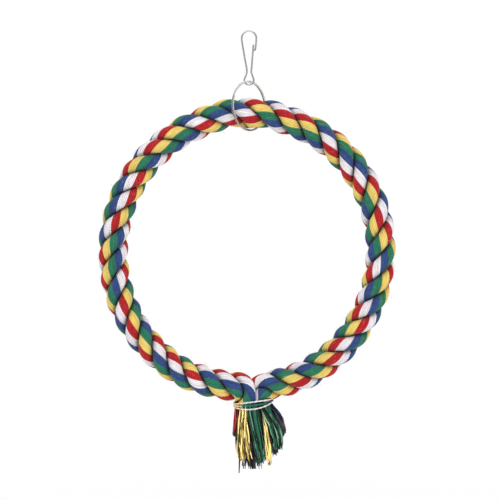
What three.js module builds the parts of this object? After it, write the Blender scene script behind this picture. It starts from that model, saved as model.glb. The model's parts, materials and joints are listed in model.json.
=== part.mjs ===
// A rope ring swing perch for a bird cage: a ring of laid cotton rope with a tasselled joint,
// hung by a split ring from a sprung wire hook.
//
// Millimetres and degrees. +X is to the right in the front view, +Y goes to the back, +Z is up.
// The origin is the hook's seat: the inside of its top bend, which hangs over a cage bar.

import * as THREE from "three";

// Rope ring
const RING_HEIGHT = 190.5; // over the rope
const RING_WIDTH = 186; // the ring hangs as a slightly upright oval
const ROPE_DIA = 18; // over the crowns of the strands
const GROOVE_DEPTH = 2.2; // from the crowns down to the groove between two strands
const STRAND_COUNT = 3;
const LAYS = 13; // turns of a strand about the rope's middle line in one full circle of the ring
const LAY_START = -0.1; // how far the front strand is past its crown at the top, in strands
const LAY_DRIFT = 0.42; // how far the lay runs ahead on the left and behind on the right, in strands
const STRAND_GAP = 0.3; // between two strands of the rope
const CORE_DIA = 1.6; // stiff wire inside the rope
const RING_SIDE = -1.6; // ring's centre from the hook's, which balances the tassel

// Neck, where the two ends of the rope turn down side by side
const NECK_WIDTH = 23;
const NECK_DEPTH = 15;
const NECK_SIDE = 4.4; // neck's middle from the ring's centre
const LEG_BEND = 6.4; // bend radius of the rope's middle line
const LEG_TAPER = 12; // length over which the rope narrows before that bend
const LEG_TAIL = 4.6; // straight length below the lower of the two bends
const LEG_FLATNESS = 0.8; // depth of an end of the rope to the depth of the oval neck

// Yarn binding round the neck
const BINDING_YARN = 1.2;
const BINDING_TURNS = 3;
const BINDING_GAP = 0.5; // between two turns
const BINDING_SIDE_TILT = 6; // right side up
const BINDING_FRONT_TILT = 8; // front side down
const BINDING_RISE = 1.6; // from the ends of the rope up to the start of the winding, behind the neck

// Tassel of frayed yarn locks
const TASSEL_LENGTH = 41;
const TASSEL_SIDE_RISE = 20; // how much shorter the locks at the two sides are
const TASSEL_SWELL_WIDTH = 5.6; // how far the tassel swells out past the neck, at each side
const TASSEL_SWELL_DEPTH = 3;
const TASSEL_LEAN = 3.5; // to the right at its fullest
const LOCK_GAP = 0.3;
const LOCK_TIP_TAPER = 0.35; // share of its thickness that a lock loses towards its tip
const OUTER_LOCKS = ["navy", "grey", "blue", "white", "grey", "green"]
  .concat(["red", "yellow", "yellow", "green", "yellow", "green"]);
const INNER_LOCKS = ["grey", "red", "blue", "grey"];

// Split ring, two turns of flat wire
const SPLIT_ROOM = 11.4; // its bore less the rope's diameter
const SPLIT_BAND_HEIGHT = 1.5; // of the flat wire, from the bore outwards
const SPLIT_BAND_WIDTH = 0.65; // of the flat wire, along the bore
const SPLIT_BAND_CORNER = 0.15;
const SPLIT_TURN_GAP = 0.45;
const SPLIT_YAW = 41; // from square across the rope, left side to the front
const SPLIT_STEP_AT = -53; // where the wire steps over to its second turn, from the top
const SPLIT_STEP_ARC = 30;

// Hook, one wire: catch, top bend, fixed leg, waist, eye, and the sprung leg that is the gate
const WIRE_DIA = 1.2;
const HOOK_ROOM = 8; // inside width of the top bend
const WAIST_DROP = 25.6; // from the seat to the waist
const WAIST_ROOM = 1.6; // between the two legs at the waist
const EYE_DROP = 4.7; // from the waist to the middle of the eye's round bottom
const EYE_ROOM = 4.8; // inside width of the eye
const CATCH_DROP = 10; // from the seat to the end of the catch's straight arm
const CATCH_TURN = 1.6; // from there to the lowest point of the catch
const CATCH_LIP = 2.1; // how far the lip reaches back past the arm
const GATE_TIP_DROP = 7.9; // from the seat to the gate's free end

const CLEARANCE = 0.3; // between pieces that touch

// Facets
const LAY_STEPS = 12;
const CROWN_FACETS = 4;
const CORE_STEPS = 72;
const CORE_SIDES = 6;
const LOOP_STEPS = 24;
const LOOP_SIDES = 6;
const LOCK_STEPS = 8;
const LOCK_SIDES = 8;
const SPLIT_STEPS = 36;
const WIRE_SIDES = 8;
const HOOK_STEPS = 96;
const GATE_STEPS = 6;
const GAP_POINTS = 720; // along a winding, where its gap is measured
const BEND_ROUNDS = 12; // of working out where the rope leaves the ring

const { degToRad, lerp, smoothstep, clamp } = THREE.MathUtils;

const FINISHES = {
  steel: { color: 0xb9bab8, roughness: 0.28, metalness: 1 },
  red: { color: 0xb91c28, roughness: 0.9, metalness: 0 },
  yellow: { color: 0xdfbf57, roughness: 0.9, metalness: 0 },
  green: { color: 0x237a4e, roughness: 0.9, metalness: 0 },
  blue: { color: 0x2e4894, roughness: 0.9, metalness: 0 },
  navy: { color: 0x27325c, roughness: 0.9, metalness: 0 },
  white: { color: 0xe2dfe2, roughness: 0.9, metalness: 0 },
  grey: { color: 0x4a404a, roughness: 0.95, metalness: 0 },
};

function piece(name, geometry, finish) {
  const mesh = new THREE.Mesh(geometry, new THREE.MeshStandardMaterial(FINISHES[finish]));
  mesh.name = name;
  return mesh;
}

// An arc of a circle or of an upright oval in the XZ plane, between two angles counted clockwise
// from the top in the front view.
class FrontArc extends THREE.Curve {
  constructor(centre, halfWidth, halfHeight, from, to) {
    super();
    Object.assign(this, { centre, halfWidth, halfHeight, from, to });
  }

  getPoint(t, target = new THREE.Vector3()) {
    const angle = lerp(this.from, this.to, t);
    target.set(this.halfWidth * Math.sin(angle), 0, this.halfHeight * Math.cos(angle));
    return target.add(this.centre);
  }
}

function roundArc(centre, radius, from, to) {
  return new FrontArc(centre, radius, radius, from, to);
}

function roundSection(radius, sides) {
  const outline = new THREE.EllipseCurve(0, 0, radius, radius).getPoints(sides);
  return new THREE.Shape(outline.slice(0, sides));
}

function roundTube(path, diameter, sides, steps) {
  return new THREE.ExtrudeGeometry(roundSection(diameter / 2, sides), { extrudePath: path, steps });
}

// A closed solid through matching outlines that run anticlockwise about the way the solid goes.
// Each end is closed by a fan from the point numbered hub. The faces of the first leaning edges
// are split from the far point to the near one, and the others the other way.
function loft(outlines, hub = 0, leaning = 0) {
  const size = outlines[0].length;
  const last = (outlines.length - 1) * size;
  const corners = [];
  for (let row = 0; row < last; row += size) {
    for (let edge = 0; edge < size; edge += 1) {
      const a = row + edge;
      const b = row + ((edge + 1) % size);
      const c = b + size;
      const d = a + size;
      const face = edge < leaning ? [a, b, d, b, c, d] : [a, b, c, a, c, d];
      corners.push(...face);
    }
  }
  for (let step = 1; step + 1 < size; step += 1) {
    const near = (hub + step) % size;
    const far = (hub + step + 1) % size;
    corners.push(hub, far, near);
    corners.push(last + hub, last + near, last + far);
  }
  const geometry = new THREE.BufferGeometry().setFromPoints(outlines.flat());
  geometry.setIndex(corners);
  geometry.computeVertexNormals();
  return geometry;
}

// Least distance between turns of a winding, from points along it, less the yarn or wire.
function leastTurnGap(points, pointsPerTurn, thickness) {
  let least = Infinity;
  for (let i = 0; i < points.length; i += 1) {
    for (let j = i + Math.round(pointsPerTurn / 2); j < points.length; j += 1) {
      least = Math.min(least, points[i].distanceTo(points[j]));
    }
  }
  return least - thickness;
}

// Places that more than one piece uses
const wireRadius = WIRE_DIA / 2;
const hookHalf = (HOOK_ROOM + WIRE_DIA) / 2;
const waistHalf = (WAIST_ROOM + WIRE_DIA) / 2;
const eyeRadius = (EYE_ROOM + WIRE_DIA) / 2;
const waistZ = -WAIST_DROP;
const eyeZ = waistZ - EYE_DROP;

const splitBore = ROPE_DIA + SPLIT_ROOM;
const splitYaw = degToRad(SPLIT_YAW);
const splitTurnPitch = SPLIT_BAND_WIDTH + SPLIT_TURN_GAP;
const splitBandHalf = (splitTurnPitch + SPLIT_BAND_WIDTH) / 2;

const ropeRadius = ROPE_DIA / 2;
const ringHalfWidth = RING_WIDTH / 2 - ropeRadius;
const ringHalfHeight = RING_HEIGHT / 2 - ropeRadius;
const ringCentre = new THREE.Vector3(RING_SIDE, 0, -ringHalfHeight);

// The split ring lies across the eye's round bottom, so its two lower edges meet the eye first.
function splitRingDrop() {
  const eyeInside = EYE_ROOM / 2;
  const acrossHalf = splitBandHalf / Math.cos(splitYaw) + (wireRadius / 2) * Math.tan(splitYaw);
  const contactDrop = Math.sqrt(eyeInside ** 2 - acrossHalf ** 2);
  return contactDrop - CLEARANCE + splitBore / 2;
}

// The rope lies in the lower half of the turned bore. At each place round that half the bore's nearer
// edge lets the rope down so far, less what the rope has bent down by there, and the least one counts.
function ropeDropInSplitRing() {
  const bore = splitBore / 2;
  const reach = ropeRadius + CLEARANCE;
  const topRadius = ringHalfWidth ** 2 / ringHalfHeight;
  const lowerHalf = new THREE.EllipseCurve(0, 0, bore, bore, Math.PI, 2 * Math.PI).getPoints(SPLIT_STEPS);
  const drops = lowerHalf.map((place) => {
    const sideways = Math.abs(place.x);
    const alongRope = sideways * Math.sin(splitYaw) + splitBandHalf * Math.cos(splitYaw);
    const acrossRope = Math.max(0, sideways * Math.cos(splitYaw) - splitBandHalf * Math.sin(splitYaw));
    const bendDrop = alongRope ** 2 / (2 * topRadius);
    const ropeHalfHeight = Math.sqrt(Math.max(0, reach ** 2 - acrossRope ** 2));
    return ropeHalfHeight > 0 ? -place.y - bendDrop - ropeHalfHeight : Infinity;
  });
  return Math.min(...drops);
}

// The hook: a small catch that turns back behind the gate, the top bend, the fixed leg and the eye
function hookPath() {
  const armX = gateX(-CATCH_DROP) + WIRE_DIA + CLEARANCE;
  const lipY = WIRE_DIA + CLEARANCE;
  const lowZ = -CATCH_DROP - CATCH_TURN;
  const bendZ = wireRadius - hookHalf;
  const points = [
    new THREE.Vector3(armX - CATCH_LIP, lipY, lowZ + wireRadius / 2),
    new THREE.Vector3(armX - CATCH_LIP / 2, lipY, lowZ),
    new THREE.Vector3(armX - CATCH_LIP / 8, lipY / 2, lowZ + CATCH_TURN / 3),
    new THREE.Vector3(armX, 0, -CATCH_DROP),
  ];
  const topBend = roundArc(new THREE.Vector3(0, 0, bendZ), hookHalf, Math.PI / 2, -Math.PI / 2);
  points.push(...topBend.getPoints(10));
  points.push(new THREE.Vector3((-hookHalf - waistHalf) / 2, 0, (bendZ + waistZ) / 2));
  points.push(new THREE.Vector3(-waistHalf, 0, waistZ));
  const eyeBottom = roundArc(new THREE.Vector3(0, 0, eyeZ), eyeRadius, -Math.PI / 2, -Math.PI * 1.5);
  points.push(...eyeBottom.getPoints(8));
  points.push(new THREE.Vector3(waistHalf, 0, waistZ - CLEARANCE));
  return new THREE.CatmullRomCurve3(points);
}

// The gate leans out from the waist to stand just inside the catch's arm, under the top bend.
function gateX(z) {
  const tipX = hookHalf - WIRE_DIA - CLEARANCE - wireRadius / 2;
  return lerp(waistHalf, tipX, (z - waistZ) / (WAIST_DROP - GATE_TIP_DROP));
}

function gateGeometry() {
  const foot = new THREE.Vector3(0, 0, CLEARANCE);
  const tip = new THREE.Vector3(gateX(-GATE_TIP_DROP) - waistHalf, 0, -GATE_TIP_DROP - waistZ);
  return roundTube(new THREE.LineCurve3(foot, tip), WIRE_DIA, WIRE_SIDES, GATE_STEPS);
}

// The split ring's middle line about the X axis: the wire keeps to one side of the bore for a turn,
// steps over, and lies beside itself for the second turn.
class SplitRingPath extends THREE.Curve {
  getAngle(t) {
    const fullTurns = 2 * Math.PI - degToRad(SPLIT_STEP_ARC) / 2;
    return degToRad(SPLIT_STEP_AT) + lerp(-fullTurns, fullTurns, t);
  }

  getPoint(t, target = new THREE.Vector3()) {
    const stepHalf = degToRad(SPLIT_STEP_ARC) / 2;
    const angle = this.getAngle(t);
    const side = smoothstep(angle - degToRad(SPLIT_STEP_AT), -stepHalf, stepHalf) - 0.5;
    const radius = (splitBore + SPLIT_BAND_HEIGHT) / 2;
    return target.set(side * splitTurnPitch, radius * Math.sin(angle), radius * Math.cos(angle));
  }
}

function splitRingGeometry() {
  const tall = SPLIT_BAND_HEIGHT / 2;
  const wide = SPLIT_BAND_WIDTH / 2;
  const section = [];
  for (const [up, along] of [[1, 1], [-1, 1], [-1, -1], [1, -1]]) {
    const endCut = new THREE.Vector2(tall - SPLIT_BAND_CORNER, wide);
    const sideCut = new THREE.Vector2(tall, wide - SPLIT_BAND_CORNER);
    const cut = [endCut, sideCut];
    const turned = up === along ? cut.reverse() : cut;
    section.push(...turned.map((corner) => new THREE.Vector2(corner.x * up, corner.y * along)));
  }
  const path = new SplitRingPath();
  const steps = 2 * SPLIT_STEPS;
  const outlines = [];
  for (let step = 0; step <= steps; step += 1) {
    const angle = path.getAngle(step / steps);
    const outward = new THREE.Vector3(0, Math.sin(angle), Math.cos(angle));
    const along = new THREE.Vector3(1, 0, 0);
    const middle = path.getPoint(step / steps);
    outlines.push(section.map((corner) => (
      middle.clone().addScaledVector(outward, corner.x).addScaledVector(along, corner.y)
    )));
  }
  const gap = leastTurnGap(path.getPoints(GAP_POINTS), GAP_POINTS / 2, SPLIT_BAND_WIDTH);
  console.log("split ring, least gap between turns:", gap);
  return loft(outlines);
}

// Where the ring ends and the rope bends down, reach being how far that bend's centre is from the
// ring's centre: the angle on the ring, the way square to the ring there, both counted from the
// bottom, and the height of the bend's centre.
function bendAt(reach) {
  let angle = 0;
  let square = 0;
  for (let round = 0; round < BEND_ROUNDS; round += 1) {
    angle = Math.asin((reach - LEG_BEND * Math.sin(square)) / ringHalfWidth);
    square = Math.atan2(ringHalfHeight * Math.sin(angle), ringHalfWidth * Math.cos(angle));
  }
  const z = ringCentre.z - ringHalfHeight * Math.cos(angle) - LEG_BEND * Math.cos(square);
  return { angle, square, z };
}

// The rope's middle line from the left end at the neck, clockwise round the ring, to the right end
const legHalfWidth = (NECK_WIDTH - CLEARANCE) / 4;
const legHalfDepth = (NECK_DEPTH / 2) * LEG_FLATNESS;
const legOffset = (NECK_WIDTH + CLEARANCE) / 4;
const leftBend = bendAt(LEG_BEND + legOffset - NECK_SIDE);
const rightBend = bendAt(LEG_BEND + legOffset + NECK_SIDE);
const neckX = ringCentre.x + NECK_SIDE;
const legEndZ = Math.min(leftBend.z, rightBend.z) - LEG_TAIL;
const ringStart = leftBend.angle - Math.PI;
const ringEnd = Math.PI - rightBend.angle;
const ringArc = new FrontArc(ringCentre, ringHalfWidth, ringHalfHeight, ringStart, ringEnd);
const ringLeft = new FrontArc(ringCentre, ringHalfWidth, ringHalfHeight, ringStart, 0);

function legTail(x, bendZ) {
  return new THREE.LineCurve3(new THREE.Vector3(x, 0, legEndZ), new THREE.Vector3(x, 0, bendZ));
}

function ropeLine() {
  const leftX = neckX - legOffset;
  const rightX = neckX + legOffset;
  const leftCentre = new THREE.Vector3(leftX - LEG_BEND, 0, leftBend.z);
  const rightCentre = new THREE.Vector3(rightX + LEG_BEND, 0, rightBend.z);
  const rightTail = legTail(rightX, rightBend.z);
  const line = new THREE.CurvePath();
  line.add(legTail(leftX, leftBend.z));
  line.add(roundArc(leftCentre, LEG_BEND, Math.PI / 2, leftBend.square));
  line.add(ringArc);
  line.add(roundArc(rightCentre, LEG_BEND, -rightBend.square, -Math.PI / 2));
  line.add(new THREE.LineCurve3(rightTail.v2, rightTail.v1));
  return line;
}

// Half of the rope's width on the side of the ring's middle. At the neck the two ends of the rope
// press flat against each other there.
function innerHalfWidth(middle, inward) {
  const toOtherEnd = Math.abs(neckX - middle.x) - CLEARANCE / 2;
  const room = toOtherEnd / Math.abs(inward.x);
  return middle.z < ringCentre.z ? Math.min(ropeRadius, room) : ropeRadius;
}

// One strand's section with its crown on +X: a wedge with a round back, clear of the core.
// The points go from the core out along one side, over the back and in along the other side.
function strandSection() {
  const half = Math.PI / STRAND_COUNT;
  const groove = ropeRadius - GROOVE_DEPTH;
  const side = new THREE.Vector2(Math.cos(half), Math.sin(half));
  const inset = new THREE.Vector2(side.y, -side.x).multiplyScalar(STRAND_GAP / 2);
  const backCentre = (ropeRadius ** 2 - groove ** 2) / (2 * (ropeRadius - groove * side.x));
  const backRadius = ropeRadius - backCentre;
  const corner = side.clone().multiplyScalar(groove).add(inset);
  const backHalf = Math.atan2(corner.y, corner.x - backCentre);
  const coreRoom = CORE_DIA / 2 + 2 * CLEARANCE;
  const inner = side.clone().multiplyScalar(coreRoom).add(inset);
  const back = new THREE.EllipseCurve(backCentre, 0, backRadius, backRadius, -backHalf, backHalf);
  const outer = back.getPoints(CROWN_FACETS).slice(1, -1);
  const mirror = (point) => new THREE.Vector2(point.x, -point.y);
  const floor = new THREE.Vector2(coreRoom, 0);
  return [mirror(inner), mirror(corner), ...outer, corner, inner, floor];
}

function strandGeometry(number) {
  const line = ropeLine();
  const length = line.getLength();
  const [leftTail, leftTurn, , rightTurn, rightTail] = line.curves.map((curve) => curve.getLength());
  const topAt = leftTail + leftTurn + ringLeft.getLength();
  const ringRadius = (ringHalfWidth + ringHalfHeight) / 2;
  const section = strandSection();
  const coreRoom = section.at(-1).length();
  const front = new THREE.Vector3(0, -1, 0);
  const layLength = (2 * Math.PI * ringRadius) / LAYS;
  const steps = Math.round((LAY_STEPS * length) / layLength);
  const outlines = [];
  for (let step = 0; step <= steps; step += 1) {
    const along = step / steps;
    const angle = (along * length - topAt) / ringRadius;
    const crossings = (STRAND_COUNT * LAYS * angle) / (2 * Math.PI) + LAY_START - LAY_DRIFT * Math.sin(angle);
    const twist = ((crossings - number) * 2 * Math.PI) / STRAND_COUNT;
    const pastLeft = along * length - leftTail - leftTurn;
    const pastRight = (1 - along) * length - rightTail - rightTurn;
    const fullness = smoothstep(Math.min(pastLeft, pastRight), 0, LEG_TAPER);
    const deep = lerp(legHalfDepth, ropeRadius, fullness) / ropeRadius;
    const middle = line.getPoint(along);
    const way = line.getTangent(along);
    const inward = new THREE.Vector3(way.z, 0, -way.x);
    const innerWide = innerHalfWidth(middle, inward) / ropeRadius;
    const outerWide = lerp(legHalfWidth, ropeRadius, fullness) / ropeRadius;
    outlines.push(section.map((corner) => {
      const turned = corner.clone().rotateAround(new THREE.Vector2(), twist);
      const bare = corner.length() < coreRoom + CLEARANCE;
      const wide = turned.y > 0 ? innerWide : outerWide;
      const depth = turned.x * (bare ? 1 : deep);
      const width = turned.y * (bare ? 1 : wide);
      return middle.clone().addScaledVector(front, depth).addScaledVector(inward, width);
    }));
  }
  const crown = 1 + CROWN_FACETS / 2;
  return loft(outlines, crown, 1 + CROWN_FACETS);
}

// The binding: a tilted oval winding that starts behind the neck and goes down turn by turn
class BindingPath extends THREE.Curve {
  getPoint(t, target = new THREE.Vector3()) {
    const turns = BINDING_TURNS * t;
    const angle = 2 * Math.PI * turns + Math.PI / 2;
    const out = CLEARANCE + BINDING_YARN / 2;
    const across = (NECK_WIDTH / 2 + out) * Math.cos(angle);
    const deep = (NECK_DEPTH / 2 + out) * Math.sin(angle);
    const sideRise = across * Math.tan(degToRad(BINDING_SIDE_TILT));
    const backRise = deep * Math.tan(degToRad(BINDING_FRONT_TILT));
    const startZ = legEndZ + BINDING_RISE;
    const z = startZ + sideRise + backRise - turns * (BINDING_YARN + BINDING_GAP);
    return target.set(neckX + across, deep, z);
  }
}

function bindingGeometry() {
  const path = new BindingPath();
  const steps = BINDING_TURNS * LOOP_STEPS;
  const gap = leastTurnGap(path.getPoints(GAP_POINTS), GAP_POINTS / BINDING_TURNS, BINDING_YARN);
  console.log("binding, least gap between turns:", gap);
  return roundTube(path, BINDING_YARN, LOOP_SIDES, steps);
}

// Where each lock leaves the neck: a round of locks just inside the oval, and a row in the middle
function lockPlaces() {
  const count = OUTER_LOCKS.length;
  const oval = new THREE.EllipseCurve(0, 0, NECK_WIDTH / 2, NECK_DEPTH / 2);
  const shareOfRound = (oval.getLength() - count * LOCK_GAP) / (2 * count + 2 * Math.PI);
  const radius = shareOfRound - LOCK_GAP / 2;
  const round = new THREE.EllipseCurve(0, 0, NECK_WIDTH / 2 - radius, NECK_DEPTH / 2 - radius);
  const places = round.getSpacedPoints(count).slice(0, count).map((at, index) => (
    { at, radius, colour: OUTER_LOCKS[index] }
  ));
  const pitch = 2 * radius + LOCK_GAP;
  INNER_LOCKS.forEach((colour, index) => {
    const x = (index - (INNER_LOCKS.length - 1) / 2) * pitch;
    places.push({ at: new THREE.Vector2(x, 0), radius, colour });
  });
  return places;
}

// A lock hangs straight through the binding, swells out with its neighbours and draws in again.
// Every level of the tassel is the neck's pattern spread out, so the locks stay apart.
function lockGeometry({ at, radius }) {
  const straight = (BINDING_TURNS + 1) * (BINDING_YARN + BINDING_GAP);
  const sideways = at.x / (NECK_WIDTH / 2 - radius);
  const length = TASSEL_LENGTH - TASSEL_SIDE_RISE * sideways ** 4;
  const outlines = [];
  for (let step = 0; step <= LOCK_STEPS; step += 1) {
    const drop = (length * step) / LOCK_STEPS;
    const down = clamp((drop - straight) / (TASSEL_LENGTH - straight), 0, 1);
    const swell = Math.sin(Math.PI * down);
    const wide = 1 + (swell * TASSEL_SWELL_WIDTH) / (NECK_WIDTH / 2);
    const deep = 1 + (swell * TASSEL_SWELL_DEPTH) / (NECK_DEPTH / 2);
    const taper = 1 - LOCK_TIP_TAPER * (step / LOCK_STEPS) ** 3;
    const thick = radius * taper;
    const lean = TASSEL_LEAN * smoothstep(down, 0, 0.5);
    const outline = [];
    for (let side = 0; side < LOCK_SIDES; side += 1) {
      const turn = (2 * Math.PI * side) / LOCK_SIDES;
      const x = (at.x + thick * Math.cos(turn)) * wide + lean;
      const y = (at.y - thick * Math.sin(turn)) * deep;
      outline.push(new THREE.Vector3(x, y, -drop));
    }
    outlines.push(outline);
  }
  return loft(outlines);
}

function tassel() {
  const group = new THREE.Group();
  const numbers = {};
  for (const place of lockPlaces()) {
    numbers[place.colour] = (numbers[place.colour] ?? 0) + 1;
    const name = `tassel_${place.colour}_${numbers[place.colour]}`;
    group.add(piece(name, lockGeometry(place), place.colour));
  }
  group.position.set(neckX, 0, legEndZ - CLEARANCE);
  return group;
}

// Everything below the split ring turns about the rope's middle line at the top of the ring.
function perch() {
  const group = new THREE.Group();
  const strandColours = ["red", "green", "blue"];
  for (let number = 0; number < STRAND_COUNT; number += 1) {
    const colour = strandColours[number % strandColours.length];
    group.add(piece(`rope_strand_${number + 1}`, strandGeometry(number), colour));
  }
  group.add(piece("core_wire", roundTube(ringArc, CORE_DIA, CORE_SIDES, CORE_STEPS), "steel"));
  group.add(piece("neck_binding", bindingGeometry(), "white"));
  group.add(tassel());
  return group;
}

// The split ring and what hangs on it swing about the middle of the eye's round bottom.
function hangingPieces() {
  const group = new THREE.Group();
  const drop = splitRingDrop();
  const ring = piece("split_ring", splitRingGeometry(), "steel");
  ring.position.z = -drop;
  ring.rotation.z = -splitYaw;
  const hung = perch();
  hung.position.z = -drop - ropeDropInSplitRing();
  group.add(ring, hung);
  group.position.z = eyeZ;
  return group;
}

const swing = new THREE.Group();
swing.add(piece("hook_wire", roundTube(hookPath(), WIRE_DIA, WIRE_SIDES, HOOK_STEPS), "steel"));
const gate = piece("gate_leg", gateGeometry(), "steel");
gate.position.set(waistHalf, 0, waistZ);
swing.add(gate, hangingPieces());

export default swing;
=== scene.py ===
"""A rope swing perch: a ring of laid cotton rope with a tassel, hung by a split ring from a wire hook.

Metres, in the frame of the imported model: +X to the right in the front view, +Y to the back, +Z up.
"""
import json
import logging
import math
from dataclasses import dataclass, field
from enum import Enum
from typing import Any, Callable, Iterator, Mapping, Optional, Sequence, Union

import bmesh
import bpy
import numpy as np
from mathutils import Color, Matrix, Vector


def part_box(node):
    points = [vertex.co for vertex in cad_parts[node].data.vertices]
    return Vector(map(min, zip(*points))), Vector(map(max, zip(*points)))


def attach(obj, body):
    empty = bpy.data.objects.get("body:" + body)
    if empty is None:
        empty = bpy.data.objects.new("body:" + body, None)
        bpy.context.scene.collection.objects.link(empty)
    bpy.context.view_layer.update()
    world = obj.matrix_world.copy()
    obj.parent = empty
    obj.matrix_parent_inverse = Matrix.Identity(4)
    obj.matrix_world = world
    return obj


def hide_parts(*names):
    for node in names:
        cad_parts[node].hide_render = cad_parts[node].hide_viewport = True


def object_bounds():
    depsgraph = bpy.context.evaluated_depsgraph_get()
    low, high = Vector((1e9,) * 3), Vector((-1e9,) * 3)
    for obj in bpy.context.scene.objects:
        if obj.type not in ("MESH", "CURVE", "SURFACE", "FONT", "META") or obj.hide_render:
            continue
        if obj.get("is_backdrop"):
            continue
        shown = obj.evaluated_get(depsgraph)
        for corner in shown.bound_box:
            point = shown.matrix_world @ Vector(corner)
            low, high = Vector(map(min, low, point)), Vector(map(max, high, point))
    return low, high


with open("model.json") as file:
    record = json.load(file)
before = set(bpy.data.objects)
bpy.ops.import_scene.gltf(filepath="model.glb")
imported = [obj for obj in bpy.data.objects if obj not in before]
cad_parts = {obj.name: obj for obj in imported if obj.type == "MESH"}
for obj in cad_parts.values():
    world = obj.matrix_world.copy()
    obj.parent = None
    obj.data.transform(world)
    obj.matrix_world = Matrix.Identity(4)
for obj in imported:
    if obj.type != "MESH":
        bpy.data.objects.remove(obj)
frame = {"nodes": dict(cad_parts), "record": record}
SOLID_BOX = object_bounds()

MM = 0.001
FULL_TURN = 2.0 * math.pi
QUARTER_TURN = 0.5 * math.pi
GOLDEN_TURN = math.pi * (3.0 - math.sqrt(5.0))
TO_BACK = (0.0, 1.0, 0.0)
UPWARDS = (0.0, 0.0, 1.0)
BRIGHTEST_PART = 255.0
# Guards against a division by nothing, points that fall together and a power that is too large
TINY = 1e-6
LEAST_STEP = 1e-9
LEAST_FALL = 1e-3
LARGEST_POWER = 40.0
MERGE_DISTANCE = 1e-7
SHARP_EDGE = math.radians(66.0)
UV_MAP = "run"
OWN_MARK = "own"
# How deep a point lies in a groove; the cotton paints shade there by it
SUNK_MARK = "sunk"

log = logging.getLogger("perch")

Placed = tuple[np.ndarray, Union[np.ndarray, float]]
Placing = Callable[[np.ndarray, np.ndarray], Placed]
Colour = tuple[float, float, float, float]
Term = Union["Value", float]


def grey(level: float) -> Colour:
    """Gives a plain grey, from 0 to 1."""
    return (level, level, level, 1.0)


def eased(share: np.ndarray) -> np.ndarray:
    """Eases a share from 0 to 1, level at both ends."""
    held = np.clip(share, 0.0, 1.0)
    return held * held * (3.0 - 2.0 * held)


def turned(right: Any, up: Any, angle: Any) -> tuple[Any, Any]:
    """Turns flat places about the middle."""
    return right * np.cos(angle) - up * np.sin(angle), right * np.sin(angle) + up * np.cos(angle)


def front_arc(centre: Vector, half_width: float, half_height: float, start: float, end: float,
              steps: int) -> np.ndarray:
    """Draws an arc of a circle or an upright oval in the front plane.

    Args:
        centre: The middle of the arc.
        half_width: Half of the whole oval's width.
        half_height: Half of the whole oval's height.
        start: The angle of the first point, clockwise from the top in the front view.
        end: The angle of the last point.
        steps: How many steps the arc has.

    Returns:
        The points, one a row.
    """
    angle = np.linspace(start, end, steps + 1)
    across = centre.x + half_width * np.sin(angle)
    up = centre.z + half_height * np.cos(angle)
    return np.column_stack((across, np.full_like(angle, centre.y), up))


def smooth_line(points: np.ndarray, steps: int) -> np.ndarray:
    """Draws a smooth line through points, slower where they lie close together.

    Args:
        points: The points to pass, one a row.
        steps: How many steps there are between two of them.

    Returns:
        The points of the line, one a row.
    """
    before = 2.0 * points[0] - points[1]
    after = 2.0 * points[-1] - points[-2]
    ends = np.vstack((before, points, after))
    share = np.linspace(0.0, 1.0, steps, endpoint=False)[:, None]
    stretches = []
    for a, b, c, d in zip(ends, ends[1:], ends[2:], ends[3:]):
        first, middle, last = (math.sqrt(np.linalg.norm(q - p)) for p, q in ((a, b), (b, c), (c, d)))
        leave = (c - b) + middle * ((b - a) / first - (c - a) / (first + middle))
        arrive = (c - b) + middle * ((d - c) / last - (d - b) / (middle + last))
        bend = 3.0 * (c - b) - 2.0 * leave - arrive
        swing = 2.0 * (b - c) + leave + arrive
        stretches.append(b + leave * share + bend * share ** 2 + swing * share ** 3)
    stretches.append(points[-1:])
    return np.vstack(stretches)


def linked(name: str, data: bpy.types.ID) -> bpy.types.Object:
    """Makes an object in the scene.

    Args:
        name: Its name.
        data: Its mesh, camera or light.

    Returns:
        The object.
    """
    made = bpy.data.objects.new(name, data)
    bpy.context.scene.collection.objects.link(made)
    return made


def formed(name: str, form: bmesh.types.BMesh) -> bpy.types.Object:
    """Makes an object of a form, which is then done with.

    Args:
        name: The object's name.
        form: The form.

    Returns:
        The object.
    """
    mesh = bpy.data.meshes.new(name)
    form.to_mesh(mesh)
    form.free()
    return linked(name, mesh)


class Tone(Enum):
    """Colours of the cotton, in sRGB from 0 to 255."""

    RED = (176, 28, 35)
    YELLOW = (226, 198, 106)
    GREEN = (40, 115, 86)
    BLUE = (46, 71, 124)
    WHITE = (234, 228, 232)
    NAVY = (38, 50, 92)
    GREY = (78, 68, 78)
    # Painted shade: the white binding yarn as it shows on the left side of each turn
    SHADED_WHITE = (232, 214, 168)

    @property
    def linear(self) -> Colour:
        """Gives the colour as linear red, green, blue and alpha."""
        shown = Color([part / BRIGHTEST_PART for part in self.value])
        return (*shown.from_srgb_to_scene_linear(), 1.0)


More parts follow.
